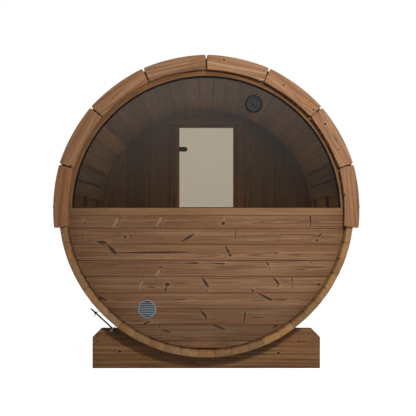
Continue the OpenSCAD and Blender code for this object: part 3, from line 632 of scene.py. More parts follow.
class SaunaSizes(bpy.types.PropertyGroup):
    """Sizes of the details that are added to the frame."""

    arris: length("Arris", "Width taken off the long edges of the staves", 4.0)
    groove: length("Groove", "Half width of the V groove between wall boards", 4.2)
    board_pitch: length("Board pitch", "Cover width of the wall boards", 110.5, 40)
    trim_edge: length("Trim edge", "Radius worked on the edges of the trim boards", 3.5)
    thread_pitch: length("Thread pitch", "Pitch of the tie rods' thread, drawn coarse", 2.5, 1)
    shingle_courses: bpy.props.IntProperty(
        name="Shingle courses", description="Courses of shingles on each side of the ridge",
        default=11, min=4,
    )


def paint(name, description, hex_colour):
    """A colour that the user can change."""
    return bpy.props.FloatVectorProperty(
        name=name, description=description, subtype="COLOR", size=3, min=0.0, max=1.0,
        default=linear(hex_colour),
    )


class SaunaColours(bpy.types.PropertyGroup):
    """Colours of the finishes. A wood's is that of its early wood, and its other shades follow from it."""

    stave_wood: paint("Staves", "Early wood of the staves", "#97734c")
    wall_wood: paint("Rear wall", "Early wood of the rear wall and the door frame", "#7f5e43")
    inner_wood: paint("Inside", "Early wood of the front wall and the fittings inside", "#765d45")
    sill_wood: paint("Sill", "Early wood of the sill, the window's ring and the door handle", "#836040")
    trim_wood: paint("Trim", "Early wood of the trim boards", "#967051")
    cradle_wood: paint("Cradles", "Early wood of the cradles", "#805836")
    tinted_glass: paint("Window glass", "What the window passes", "#d6d0c5")
    door_glass: paint("Door glass", "What the door passes", "#fdfcfb")
    rubber: paint("Rubber", "The window's gasket", "#0d0d0e")
    plastic: paint("Valve", "The valve in the glass", "#303133")
    aluminium: paint("Aluminium", "The louvred vent", "#838b90")
    black_steel: paint("Black steel", "Hinges, bolts, hoops and drip edges", "#1c1d1f")
    zinc: paint("Zinc", "The hoops' lugs", "#b5babd")
    rod_steel: paint("Tie rods", "The tie rods", "#2a2c2f")
    shingles: paint("Shingles", "The shingles' middle grey", "#353638")


def size(name):
    """A size of the scene in millimetres, rounded to rid it of the property's short precision."""
    return round(getattr(bpy.context.scene.sauna_sizes, name) / MM, 4)


# ---------------------------------------------------------------- staves

STAVE_COUNT, STAVE_GAP = 54, 0.16
# The planks painted darker as shade under the barrel: their angle from the lowest point, and how far round
# it reaches
SHADE_ANGLE, SHADE_REACH = 8.0, 24.0
STAVE_NODES = (
    "staves_bottom", "staves_lower_right", "staves_upper_right",
    "staves_top", "staves_upper_left", "staves_lower_left",
)


def add_stave(piece, number, arris):
    """A flat plank whose sides are cut to the barrel's angle, with its four long edges taken off.

    The lowest planks are a little darker, as painted shade under the barrel.
    """
    inner, outer = (r * math.tan(math.pi / STAVE_COUNT) - STAVE_GAP / 2 for r in (INNER_R, FACE_R))
    corners = [(-inner, INNER_R), (inner, INNER_R), (outer, FACE_R), (-outer, FACE_R)]
    outline = softened(corners, np.array([1.3, 1.3, 1, 1]) * arris, 1)
    start, stop = np.array([REAR_END, FRONT_END]) + (1, -1) * piece.random.uniform(0, 1.5, 2)
    rings, cells = laid(outline, fixed(start), fixed(stop), 2.6, (0.22, 0.48, 0.75))
    angle = number * 360 / STAVE_COUNT
    outward, sideways = turned_axes(angle - 90)
    # The lowest planks' tone is lowered: painted shade under the barrel.
    painted_shade = math.exp(-(((angle - SHADE_ANGLE) / SHADE_REACH) ** 2))
    tone = 0.5 - 0.45 * painted_shade + 0.2 * piece.random.standard_normal()
    side = piece.random.choice([-1, 1])
    aside, deep = piece.random.uniform((-35, 25), (35, 80))
    pith = (aside, (INNER_R + FACE_R) / 2 + side * deep, 4.6)
    piece.solid(rings, cells, placed((0, 0, 0), Y, sideways, outward), tone=tone, pith=pith)


class SAUNA_OT_staves(bpy.types.Operator):
    """Lays the barrel's staves round it"""

    bl_idname = "sauna.staves"
    bl_label = "Staves"

    def execute(self, context):
        per_group = STAVE_COUNT // len(STAVE_NODES)
        for group, node in enumerate(STAVE_NODES):
            name = node.replace("staves_", "") + "_staves"
            piece = Piece(name, "stave_wood", seed=10 + group, knotty=0.35)
            for number in range(per_group):
                add_stave(piece, group * per_group + number - (per_group - 1) / 2, size("arris"))
            piece.finish(node)
        return {"FINISHED"}


# ---------------------------------------------------------------- rear wall

# Gap between the boards' ends and the staves, the height of the first joint under the sill, and how far
# the vent's flange lies over its hole's edge
CIRCLE_GAP, FIRST_JOINT, FLANGE_OVER = 7.0, -127.0, 6.0
REAR_AXES = (X, Z, -Y)
# What shows on each board of the rear wall, from the top one down, in mm and degrees: a knot's place,
# height and radius, and a spike's place, height, half length, lean and half width
REAR_MARKS = (
    (
        ((-832, -8, 5), (-842, 22, 18, 110, -5)), (None, (-625, -4, 44, 62, -13)),
        ((-314, -24, 5), (-326, 2, 44, 60, -12)), ((116, -8, 10), (122, 20, 24, 65, -5)),
        ((712, -24, 5), (716, 14, 36, 95, 5)),
    ),
    (
        ((-851, 11, 5), None), (None, (-722, -38, 34, -6, 9)), ((-558, -1, 8), None), ((-513, 6, 6), None),
        (None, (-129, -9, 46, 32, 8)), ((201, -12, 4), (201, 22, 34, 89, 3)), ((494, 0, 5), None),
        ((760, -25, 7), (775, 8, 30, 40, 5)),
    ),
    (
        (None, (-652, 26, 44, -44, 11)), ((-578, 0, 0), (-395, 2, 250, 0.4, 6.2)),
        ((-300, 0, 0), (-395, 2, 250, 0.4, 6.2)), ((163, -17, 8), (142, 26, 36, -62, 7)),
        ((485, -1, 5), (440, 1, 46, 0, 2.4)),
    ),
    (
        ((-313, 12, 4), (-335, -28, 34, 55, -10)), (None, (-100, 39, 44, 2, 5)),
        (None, (80, 37, 46, -3, 5)), ((450, 12, 4), (425, 30, 34, -55, 6)),
        ((398, -40, 5), (410, -18, 30, 50, -9)), ((722, 46, 5), (640, -6, 40, 0, 2.4)),
    ),
    (
        ((-805, 14, 5), None), (None, (-450, -8, 46, 68, -9)), (None, (-385, -16, 36, 0, 3.2)),
        ((-268, 3, 11), (-281, -32, 20, 65, 6)), ((5, -42, 5), (-10, 22, 40, -55, 9)),
        ((319, -40, 7), (326, -26, 20, 60, -6)), ((492, -8, 5), (478, 30, 32, -50, 7)),
        ((591, -14, 4.5), (589, 30, 24, 88, 4)), ((682, 5, 5), None), ((774, 3, 8), (735, 4, 44, 0, 2.2)),
    ),
    (
        ((-723, 21, 9), (-705, 12, 20, -25, 6)), ((-402, 26, 5), None), (None, (-183, 10, 50, 2, 3.4)),
        (None, (402, 30, 64, -26, 8)), (None, (492, 9, 54, 1, 3.4)), (None, (678, 6, 48, 0, 2.6)),
    ),
    (
        ((-419, -44, 5), (-412, -40, 24, 30, 6)), ((-3, -6, 5), (-22, 26, 34, -52, 8)),
        ((262, -36, 5), (262, -4, 40, 80, 5)), (None, (341, -2, 52, 0, 2.6)),
    ),
    (
        ((-323, 46, 6), (-279, 15, 36, -10, 5)), (None, (78, 44, 46, -20, 6)), (None, (472, 46, 30, 35, 6)),
    ),
    (
        ((-120, 20, 5), None),
    ),
)
# Tone and warmth of each board of the rear wall, from the top one down. The two lowest full boards are
# darker, partly their own tone and partly painted shade towards the bottom
BOARD_TONES_AND_SHADE = (
    (0.47, 0.5), (0.49, 0.5), (0.62, 0.5), (0.57, 0.5), (0.6, 0.5), (0.53, 0.6), (0.28, 0.55), (0.17, 0.5),
    (0.5, 0.5),
)


def raised(rows, height):
    """Marks moved up by a height."""
    return [tuple(mark and (mark[0], mark[1] + height, *mark[2:]) for mark in row) for row in rows]


def marks_of(rows):
    """Marks with their leans in radians, and the middles between neighbouring ones."""
    marks, places = [], []
    for knot, spike in rows:
        knot_part = knot or NO_MARK[:3]
        spike_part = (*spike[:3], math.radians(spike[3]), spike[4]) if spike else NO_MARK[3:]
        marks.append((*knot_part, *spike_part))
        places.append(knot[0] if knot else spike[0])
    return marks, [(a + b) / 2 for a, b in zip(places, places[1:])]


def add_wall_board(piece, low, high, thickness, axes, origin, marks=None, tone=None, ends=None, rows=8):
    """A wall board with V grooves at its edges, which ends on the barrel's circle unless ends says where.

    The outline has several points across the board, so that its ends follow the circle. The outer groove's
    upper slope is the wider one, which sheds rain.
    """
    half = thickness / 2
    grooves = size("groove") * np.array([1, 1, 0.5, 1.35])
    outline = section(low + 0.05, high - 0.05, -half, half, grooves, 1, rows)
    start, stop = ends or (on_circle(WALL_R - CIRCLE_GAP, -1), on_circle(WALL_R - CIRCLE_GAP, 1))
    joints, cell_marks = (0.2, 0.4, 0.6, 0.8), None
    if marks:
        cell_marks, middles = marks_of(marks)
        a, b = start((low + high) / 2), stop((low + high) / 2)
        joints = [(x - a) / (b - a) for x in middles]
    rings, cells = laid(outline, start, stop, 1.0, joints)
    piece.solid(rings, cells, placed(origin, *axes), marks=cell_marks, tone=tone)


class SAUNA_OT_rear_wall(bpy.types.Operator):
    """Boards the rear wall level, with the round hole for the louvred vent"""

    bl_idname = "sauna.rear_wall"
    bl_label = "Rear wall"

    def execute(self, context):
        joints = np.arange(FIRST_JOINT, -WALL_R + 20, -size("board_pitch"))
        edges = [SILL_LOW[2], *joints, -WALL_R + CIRCLE_GAP + 0.6]
        piece = Piece("rear_wall_boards", "wall_wood", seed=31)
        origin = (0, (REAR_FACE + REAR_INSIDE) / 2, 0)
        for number, (high, low) in enumerate(zip(edges, edges[1:])):
            rows = raised(REAR_MARKS[number], (high + low) / 2)
            add_wall_board(
                piece, low, high, REAR_INSIDE - REAR_FACE, REAR_AXES, origin, rows, BOARD_TONES_AND_SHADE[number],
                rows=8 if number < 8 else 14,
            )
        made = piece.finish("rear_wall")
        cut_round_hole(made, (VENT_LOW + VENT_HIGH) / 2, (VENT_HIGH[0] - VENT_LOW[0]) / 2 - FLANGE_OVER)
        return {"FINISHED"}


def cut_round_hole(made, centre, radius):
    """Cuts a round hole along Y through a piece, as a boolean that is then made its mesh."""
    rings = [placed(centre, Y, Z, X)(ring_of(radius, 64, along)) for along in (-200, 200)]
    size = len(rings[0])
    j = np.arange(size)
    faces = np.column_stack([j, (j + 1) % size, size + (j + 1) % size, size + j])
    mesh = bpy.data.meshes.new("hole")
    points = np.concatenate(rings) * MM + (0, 0, AXIS_Z)
    mesh.from_pydata(points.tolist(), [], [*faces.tolist(), j[::-1].tolist(), (size + j).tolist()])
    cutter = bpy.data.objects.new("hole", mesh)
    bpy.context.scene.collection.objects.link(cutter)
    cut = made.modifiers.new("hole", "BOOLEAN")
    cut.operation, cut.solver, cut.object = "DIFFERENCE", "EXACT", cutter
    bpy.context.view_layer.update()
    shaped = bpy.data.meshes.new_from_object(made.evaluated_get(bpy.context.evaluated_depsgraph_get()))
    made.modifiers.clear()
    old, made.data = made.data, shaped
    shaped.name = made.name
    bpy.data.meshes.remove(old)
    bpy.data.objects.remove(cutter)


# ---------------------------------------------------------------- window

# The ring: how many parts it has, how far inside the sill's ends it reaches, and its groove's depth
RING_PARTS, RING_INSET, RING_GROOVE = 6, 36.0, 5.3
# The sill's groove, and the rubber channel's depth, its slot's depth and its reach inside the ring
SILL_GROOVE, SEAL_DEPTH, SEAL_SLOT, SEAL_LIP = 11.3, 15.5, 11.7, 9.2


def add_ring_part(piece, profile, start, stop, middle_y, steps=24, tone=None):
    """Part of a ring: a profile of (radius, depth towards -Y) carried round the axis between two angles.

    The board that it is sawn from lies square to the radius at its middle, so its grain runs straight.
    """
    angles = np.radians(np.linspace(start, stop, steps))
    outward, sideways = turned_axes((start + stop) / 2)
    ease = 1.2 / profile[:, 0].max()
    shapes = [(inset(profile, 1.2), angles[0]), (profile, angles[0] + ease)]
    shapes += [(profile, angle) for angle in angles[1:-1]]
    shapes += [(profile, angles[-1] - ease), (inset(profile, 1.2), angles[-1])]
    rings = [spun(shape * (1, -1) + (0, middle_y), angle) for shape, angle in shapes]
    axes = np.array([sideways, outward, -Y])
    piece.solid(rings, fibres=lambda points: points @ axes.T, tone=tone)


class SAUNA_OT_window(bpy.types.Operator):
    """Fits the sill, the wooden ring, the gasket and the tinted glass of the half-moon window"""

    bl_idname = "sauna.window"
    bl_label = "Window"

    def execute(self, context):
        half = (REAR_INSIDE - REAR_FACE) / 2
        middle = (REAR_FACE + REAR_INSIDE) / 2
        groove = (GASKET_HIGH[1] - GASKET_LOW[1]) / 2 + 0.3
        low, high = SILL_LOW[2] + 0.1, SILL_HIGH[2]
        sill = Piece("window_sill_rail", "sill_wood", seed=41, knotty=0.0)
        outline = softened(
            [
                (low, -half), (high, -half), (high, -groove), (high - SILL_GROOVE, -groove),
                (high - SILL_GROOVE, groove), (high, groove), (high, half), (low, half),
            ],
            (1.5, 2, 0.5, 0.5, 0.5, 0.5, 4, 7), 3,
        )
        radius = WALL_R - 0.8
        rings, cells = laid(outline, on_circle(radius, -1), on_circle(radius, 1), 0.8, (0.25, 0.5, 0.75))
        sill.solid(rings, cells, placed((0, middle, 0), *REAR_AXES), tone=0.65)
        sill.finish("window_sill")

        ring = Piece("window_ring", "sill_wood", seed=42, knotty=0.0)
        inner, outer = -SILL_LOW[0] - RING_INSET, WALL_R - 0.4
        mould = (inner + outer) / 2 - 1
        profile = softened(
            [
                (inner, -half), (outer, -half), (outer, half), (mould + 2, half), (mould, half - 3.0),
                (mould - 2, half - 0.4), (inner, half - 2.2), (inner, groove),
                (inner + RING_GROOVE, groove), (inner + RING_GROOVE, -groove), (inner, -groove),
            ],
            (1.5, 1, 2, 0.6, 0.6, 0.6, 3, 0.5, 0.5, 0.5, 0.5), 3,
        )
        lowest = math.degrees(math.asin(RING_LOW[2] / WALL_R))
        part = (180 - 2 * lowest) / RING_PARTS
        for number in range(RING_PARTS):
            start = lowest + number * part
            add_ring_part(ring, profile, start + 0.02, start + part - 0.02, middle, tone=0.25)
        ring.finish("window_frame")

        self.gasket(inner, lowest)
        show_node("window_glass", "tinted_glass")
        return {"FINISHED"}

    def gasket(self, ring_inner, lowest):
        """A channel of rubber round the glass's edge: an arc, and a bar in the sill's rebate."""
        piece = Piece("window_seal", "gasket_rubber", seed=43)
        half = (GASKET_HIGH[1] - GASKET_LOW[1]) / 2
        slot = (PANE_HIGH[1] - PANE_LOW[1]) / 2 + 0.2
        middle = (GASKET_LOW[1] + GASKET_HIGH[1]) / 2
        channel = oblong(0, SEAL_DEPTH, -half, half)
        channel += [(0, slot), (SEAL_SLOT, slot), (SEAL_SLOT, -slot), (0, -slot)]
        outline = softened(channel, (2, 1, 1, 2, 1, 0.5, 0.5, 1), 2)
        lip = ring_inner - SEAL_LIP
        add_ring_part(piece, outline + (lip, 0), lowest, 180 - lowest, middle, 73)
        bar = outline * (-1, 1) + (GASKET_LOW[2] + SEAL_DEPTH, 0)
        rings, cells = laid(bar[::-1], fixed(-lip - 2), fixed(lip + 2), 0.5)
        piece.solid(rings, cells, placed((0, middle, 0), *REAR_AXES))
        piece.finish("window_gasket")


def show_node(node, slot):
    """Gives a CAD node that is shown as it is the finish of its slot."""
    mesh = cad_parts[node].data
    mesh.materials.clear()
    mesh.materials.append(finish_of(slot))


# ---------------------------------------------------------------- vents

# The louvres, the widths of the two flanges, and the valve's spokes
BLADES, BLADE_TILT, LOUVRE_FLANGE = 8, math.radians(-30), 9.0
SPOKES, VALVE_FLANGE = 6, 14.0


def add_turned(piece, outline, place, count=64):
    """A ring turned about an axis: a closed outline of (radius, along) carried round in a circle."""
    angles = np.linspace(0, 2 * np.pi, count, endpoint=False)
    piece.solid([spun(outline, angle)[:, [1, 0, 2]] for angle in angles], place=place, closed=True)


def add_round(piece, steps, place, count=32):
    """A round solid: circles of (along, radius) down its axis, closed by flat ends."""
    piece.solid([ring_of(radius, count, along) for along, radius in steps], place=place)


def domed(radius, start, stop, edge, count=4):
    """Steps of (along, radius) for a round bar with both of its ends rounded."""
    turn = np.radians(np.linspace(0, 90, count))
    rise = np.column_stack([start + edge * (1 - np.cos(turn)), radius - edge * (1 - np.sin(turn))])
    fall = rise[::-1] * (1, 1)
    fall[:, 0] = start + stop - fall[:, 0]
    return [*rise, *fall]


class SAUNA_OT_vents(bpy.types.Operator):
    """Fits the black valve in the glass and the louvred vent in the rear wall"""

    bl_idname = "sauna.vents"
    bl_label = "Vents"

    def execute(self, context):
        self.valve()
        self.louvred()
        return {"FINISHED"}

    def valve(self):
        """A flange on each face of the glass with a rounded rim, a disc with sector holes and a knob."""
        radius = (VALVE_HIGH[0] - VALVE_LOW[0]) / 2
        centre = (VALVE_LOW + VALVE_HIGH) / 2
        front, back = VALVE_LOW[1] - centre[1], VALVE_HIGH[1] - centre[1]
        piece = Piece("glass_valve", "vent_plastic", seed=51)
        place = placed(centre, Y, Z, X)
        bore = radius - VALVE_FLANGE
        seal = Piece("valve_seal", "gasket_rubber", seed=54)
        for near, far in ((front, front + 6), (back, back - 6)):
            add_turned(piece, softened(oblong(bore, radius - 8, near, far), (2.4, 1, 1, 1), 4), place)
            near = near + (far - near) / 4
            add_turned(seal, softened(oblong(radius - 7.8, radius, near, far), (1, 3, 1, 1), 3), place)
        add_turned(piece, softened(oblong(bore - 1, radius - 9, front + 2, back - 2), 0.6), place)
        add_turned(piece, softened(oblong(bore - 8, bore + 0.5, -3, 3), 1.2, 3), place)
        add_round(piece, [(back - 4, bore), (back - 3, bore)], place, 48)
        add_round(piece, [(front + 1, 7), (front + 2, 9.5), (front + 4, 10.5), (3, 11)], place, 32)
        for number in range(SPOKES):
            angle = math.radians(number * 360 / SPOKES + 15)
            c, s = math.cos(angle), math.sin(angle)
            rings, cells = laid(section(-4.5, 4.5, -2, 2.4, 0.9, 3), fixed(8), fixed(bore - 5), 0.5)
            piece.solid(rings, cells, placed(centre, c * Z + s * X, c * X - s * Z, -Y))
        piece.finish("glass_vent")
        seal.finish()

    def louvred(self):
        """A turned flange on the wall, a spigot through it, and tilted louvres that end on its bore."""
        radius = (VENT_HIGH[0] - VENT_LOW[0]) / 2
        centre = (VENT_LOW + VENT_HIGH) / 2
        front, back = VENT_LOW[1] - centre[1], VENT_HIGH[1] - centre[1]
        piece = Piece("louvred_vent", "vent_aluminium", seed=52)
        place = placed(centre, Y, Z, X)
        bore = radius - LOUVRE_FLANGE
        flange = [(bore, front), (radius - 2, front), (radius, front + 6), (bore, front + 6)]
        add_turned(piece, softened(flange, (1.5, 3, 1, 1), 4), place)
        add_turned(piece, softened(oblong(bore, radius - 7, front + 3, back), 0.8), place)
        c, s = math.cos(BLADE_TILT), math.sin(BLADE_TILT)
        blade = section(-3.6, 3.6, -1.0, 1.0, 0.9, 3) @ [[c, s], [-s, c]]
        for level in np.linspace(-bore, bore, BLADES + 2)[1:-1]:
            outline = blade + (level, -front - 5.5)
            rings, cells = laid(outline, on_circle(bore + 0.5, -1), on_circle(bore + 0.5, 1), 0.4)
            piece.solid(rings, cells, placed(centre, X, Z, -Y))
        piece.finish("wall_vent")
        # Two black discs close the bore behind the louvres: painted shade for the dark inside of the duct.
        shade_discs = Piece("vent_screen", "vent_plastic", seed=53)
        add_round(shade_discs, [(front + 13, bore + 1), (front + 14, bore + 1)], place, 48)
        add_round(shade_discs, [(back - 3, bore + 1), (back - 2, bore + 1)], place, 48)
        shade_discs.finish(material=finish_of("gasket_rubber"))


# ---------------------------------------------------------------- trim boards

TRIM_PARTS, TRIM_STEP, TRIM_RISE = 4, 97.7 / 4, 11.5
TRIM_OUTER, TRIM_WIDTH, TRIM_CURVE, TRIM_GAP, TRIM_CORNER = FACE_R + 31.7, 99.7, FACE_R + 190, 8.4, 11.0
# Knots on the trim boards from the top down, as for the rear wall; heights are over the barrel's axis
TRIM_MARKS = {
    1: (
        (
            ((-95, 1002, 7), None), ((184, 985, 5), None),
        ),
        (
            ((-176, 928, 4), None), ((-76, 976, 6), None), (None, (40, 962, 60, -10, 2)),
            ((184, 963, 6), None),
        ),
        (
            ((-110, 976, 7), None), (None, (0, 985, 60, 5, 2.4)), ((88, 971, 5), None),
        ),
        (
            ((-17, 935, 4), (-12, 938, 16, 5, 3)), ((-5, 1012, 4), None),
        ),
    ),
    -1: (
        (
            (None, (-150, 985, 60, 4, 2)), ((171, 998, 4), None),
        ),
        (
            (None, (20, 975, 70, -6, 2)), ((183, 931, 4), None),
        ),
        (
            ((163, 925, 3), None), ((193, 936, 5), (188, 940, 18, 30, 2)),
        ),
        (
            ((-25, 974, 5), None), ((120, 950, 3), None),
        ),
    ),
}
# Tone and warmth of each trim board, from the top down. The right side's boards are lighter than the left's,
# partly their own tones and partly painted light from the right
TRIM_TONES_AND_LIGHT = {
    1: ((0.83, 0.4), (0.54, 0.55), (0.64, 0.45), (0.16, 0.75)),
    -1: ((0.34, 0.6), (0.39, 0.65), (0.43, 0.65), (0.26, 0.85)),
}


def add_trim_board(piece, side, number, y_low, y_high, marks=None, tone=None):
    """A straight-grained board sawn to the trim's curve, with round corners and worked edges.

    Its height is that of an arc over its chord. Near each end its width draws in along the corner's
    circle and its thickness along the edge's.
    """
    angle = math.radians((number + 0.5) * TRIM_STEP)
    along = np.array([side * math.cos(angle), 0, -math.sin(angle)])
    upward = np.array([side * math.sin(angle), 0, math.cos(angle)])
    half_angle = math.radians(TRIM_STEP / 2)
    edge = size("trim_edge")
    top, base = TRIM_OUTER, TRIM_OUTER - TRIM_WIDTH
    half = (y_high - y_low) / 2

    def sag(x):
        """Height of the edges' arc under its crown."""
        return np.sqrt(TRIM_CURVE**2 - x**2) - TRIM_CURVE

    def end(height):
        """Half length at a height, where the arc meets the joint's radial line, found by repetition."""
        x = 0.0
        for _ in range(4):
            x = (height + sag(x)) * math.tan(half_angle) - TRIM_GAP / 2 / math.cos(half_angle)
        return x

    near = np.array([0, 0.35, 1.2, 3.0, 5.5, 8.0, TRIM_CORNER])
    shape = functools.partial(trim_ring, end=end, base=base, top=top, half=half, edge=edge)
    body, other = shape(-1, TRIM_CORNER), shape(1, TRIM_CORNER)
    rings = [shape(-1, step) for step in near]
    rings += [body + (other - body) * share for share in np.linspace(0, 1, 13)[1:-1]]
    rings = np.array(rings + [shape(1, step) for step in near[::-1]])
    rings[..., 1] += sag(rings[..., 0])
    cells, cell_marks = None, None
    if marks:
        cell_marks, middles = marks_of(marks)
        cells = np.searchsorted(middles, rings[:-1, :, 0].mean(1))
    place = placed((0, (y_low + y_high) / 2, TRIM_RISE), along, upward, np.cross(along, upward))
    piece.solid(rings, cells, place, marks=cell_marks, tone=tone, pith=(base - 140, 30, 5.2))


def trim_ring(side, step, end, base, top, half, edge):
    """The trim board's outline at a distance from one of its ends."""
    corner = TRIM_CORNER - math.sqrt(TRIM_CORNER**2 - (TRIM_CORNER - step) ** 2)
    drawn = max(0.0, edge - step)
    rounding = edge - math.sqrt(edge**2 - drawn**2)
    deep, radius = half - rounding, edge - rounding * 0.9
    outline = section(base + corner, top - corner, -deep, deep, radius, 3)
    return at(side * (end(outline[:, 0]) - step), outline)


class SAUNA_OT_trims(bpy.types.Operator):
    """Screws the curved trim boards over the stave ends, front and rear"""

    bl_idname = "sauna.trims"
    bl_label = "Trim boards"

    def execute(self, context):
        for end, seed in (("rear", 61), ("front", 71)):
            for side, word in ((-1, "left"), (1, "right")):
                node = f"{end}_trim_{word}"
                low, high = corners_of(node)
                piece = Piece(f"{end}_{word}_trim_boards", "trim_wood", seed=seed + side, knotty=0.3)
                for number in range(TRIM_PARTS):
                    marks = TRIM_MARKS[side][number] if end == "rear" else None
                    add_trim_board(piece, side, number, low[1], high[1], marks, TRIM_TONES_AND_LIGHT[side][number])
                piece.finish(node)
        return {"FINISHED"}


# ---------------------------------------------------------------- front wall and door

UP_AXES = (Z, X, Y)


class SAUNA_OT_front_wall(bpy.types.Operator):
    """Boards the front wall upright, beside, over and under the doorway"""

    bl_idname = "sauna.front_wall"
    bl_label = "Front wall"

    def execute(self, context):
        radius = WALL_R - CIRCLE_GAP
        low, high = on_circle(radius, -1), on_circle(radius, 1)
        jamb_x = HEADER_HIGH[0]
        self.build("front_wall_left", 81, -radius + 2, FRONT_HIGH[0], (low, high))
        self.build("front_wall_right", 82, -FRONT_HIGH[0], radius - 2, (low, high))
        self.build("front_wall_header", 83, -jamb_x, jamb_x, (fixed(HEADER_LOW[2] + 0.3), high))
        self.build("front_wall_base", 84, -jamb_x, jamb_x, (low, fixed(BASE_HIGH[2] - 0.3)))
        return {"FINISHED"}

    def build(self, node, seed, left, right, ends):
        """Upright boards of equal width from left to right, as near the boards' pitch as they come."""
        piece = Piece(node + "_boards", "inner_wood", seed=seed, knotty=0.6)
        count = max(1, round((right - left) / size("board_pitch")))
        edges = np.linspace(left, right, count + 1)
        middle_y = (FRONT_LOW[1] + FRONT_HIGH[1]) / 2
        for low, high in zip(edges, edges[1:]):
            thickness = FRONT_HIGH[1] - FRONT_LOW[1]
            add_wall_board(piece, low, high, thickness, UP_AXES, (0, middle_y, 0), ends=ends, rows=10)
        piece.finish(node)


# The frame reaches this far outside the clear opening, and its rebate takes the glass and its gap
FRAME_REACH, REBATE = 50.0, 18.0
CLEAR_X = FRAME_HIGH[0] - FRAME_REACH
CLEAR_LOW, CLEAR_HIGH = FRAME_LOW[2] + FRAME_REACH, FRAME_HIGH[2] - FRAME_REACH
STOP_Y = DOOR_LOW[1] - 6.0
CASING_WIDTH, CASING_FOOT = 55.0, CLEAR_HIGH + 32.0
# Hinges: their heights, half a bracket's height, their plates and their pin
HINGE_LEVELS = (CLEAR_LOW + 195.0, CLEAR_HIGH - 195.0)
BRACKET_HALF = 27.0
PLATE_HALF, PLATE_THICK, PLATE_GAP = 21.0, 8.0, 0.3
BOLT_X = -CLEAR_X + 74.0 - PLATE_HALF
PIN_X, PIN_Y = -CLEAR_X - 24.0, FRAME_HIGH[1] + 15.0
KNUCKLE_R, KNUCKLE_HALF, END_KNUCKLE = 8.0, 12.0, 14.0


def frame_section():
    """Outline of the door frame as (distance outside the clear opening, y), with its rebate."""
    outside, back, front = FRAME_REACH - 0.2, FRAME_LOW[1], FRAME_HIGH[1]
    corners = [(0, back), (outside, back), (outside, front), (REBATE, front), (REBATE, STOP_Y), (0, STOP_Y)]
    return softened(corners, (2.4, 1.2, 2.4, 1.2, 0.6, 1.2), 2)


def mitred(reach, side):
    """A board's end, mitred outwards from the clear opening's edge, with a small joint."""
    return lambda out: side * (reach + out - 0.4)


class SAUNA_OT_door_frame(bpy.types.Operator):
    """Mitres the door frame's four members and nails the casing boards on the inside"""

    bl_idname = "sauna.door_frame"
    bl_label = "Door frame and casing"

    def execute(self, context):
        piece = Piece("door_frame_members", "frame_wood", seed=91, knotty=0.2)
        outline = frame_section()
        for side in (-1, 1):
            self.jamb(piece, outline, side)
        for level, way in ((CLEAR_HIGH, Z), (CLEAR_LOW, -Z)):
            rings, cells = laid(outline, mitred(CLEAR_X, -1), mitred(CLEAR_X, 1), 0.5, (0.5,))
            piece.solid(rings, cells, placed(level * Z, X, way, Y))
        piece.finish("door_frame")

        casing = Piece("door_casing_boards", "frame_wood", seed=92, knotty=0.3)
        thick = CASING_HIGH[1] - CASING_LOW[1]
        origin = (0, (CASING_LOW[1] + CASING_HIGH[1]) / 2, 0)
        for side in (-1, 1):
            near, far = sorted((side * (CASING_HIGH[0] - CASING_WIDTH), side * CASING_HIGH[0]))
            board = section(near, far, -thick / 2, thick / 2, 2.5, 3)
            rings, cells = laid(board, fixed(CASING_LOW[2]), fixed(CASING_FOOT - 0.4), 0.8, (0.3, 0.6))
            casing.solid(rings, cells, placed(origin, *UP_AXES))
        board = section(CASING_FOOT, CASING_HIGH[2], -thick / 2, thick / 2, 2.5, 3)
        rings, cells = laid(board, fixed(CASING_LOW[0]), fixed(CASING_HIGH[0]), 1.5, (0.5,))
        casing.solid(rings, cells, placed(origin, X, Z, -Y))
        casing.finish("door_casing")
        return {"FINISHED"}

    def jamb(self, piece, outline, side):
        """A jamb with mitred ends. On the hinge side its stop is cut back at each hinge."""
        middle, half = (CLEAR_LOW + CLEAR_HIGH) / 2, (CLEAR_HIGH - CLEAR_LOW) / 2
        joints, notched = [0.5], []
        if side < 0:
            steps = (-BRACKET_HALF - 0.4, -BRACKET_HALF, BRACKET_HALF, BRACKET_HALF + 0.4)
            joints = [(level + step - CLEAR_LOW) / (2 * half) for level in HINGE_LEVELS for step in steps]
            notched = [4, 5, 8, 9]
        rings, cells = laid(outline, mitred(half, -1), mitred(half, 1), 0.5, joints)
        for ring in range(3, 3 + len(joints)):
            middle_of = np.mean if ring in notched else np.median
            rings[ring, :, 0] = middle_of(rings[ring, :, 0])
        cut = (rings[notched, :, 1] < REBATE + 2) & (np.abs(rings[notched, :, 2] - STOP_Y) < 3)
        rings[notched, :, 2] -= 14.0 * cut
        place = placed((side * CLEAR_X, 0, middle), Z, side * X, Y)
        piece.solid(rings, cells, place, marks=np.tile(NO_MARK, (cells[-1] + 1, 1)))


def sawn(outline, low, high, ease, steps=3):
    """Rings of a flat shape cut from sheet or board, from low to high, with its edges rounded."""
    turn = np.radians(np.linspace(0, 90, steps))
    near = [(low + ease * (1 - math.sin(a)), ease * (1 - math.cos(a))) for a in turn[::-1]]
    far = [(high - ease * (1 - math.sin(a)), ease * (1 - math.cos(a))) for a in turn]
    return np.array([at(place, inset(outline, depth)) for place, depth in near + far])


def stadium(start, stop, half, steps=10, setback=2.0):
    """Outline of a plate with a square end at start and a round end about stop."""
    turn = np.radians(np.linspace(-90, 90, steps * 2))
    round_end = np.column_stack([stop + half * np.cos(turn), half * np.sin(turn)])
    square = softened([(start, half), (start, -half), (stop, -half), (stop, half)], setback, 2)[:6]
    return np.concatenate([round_end, square])


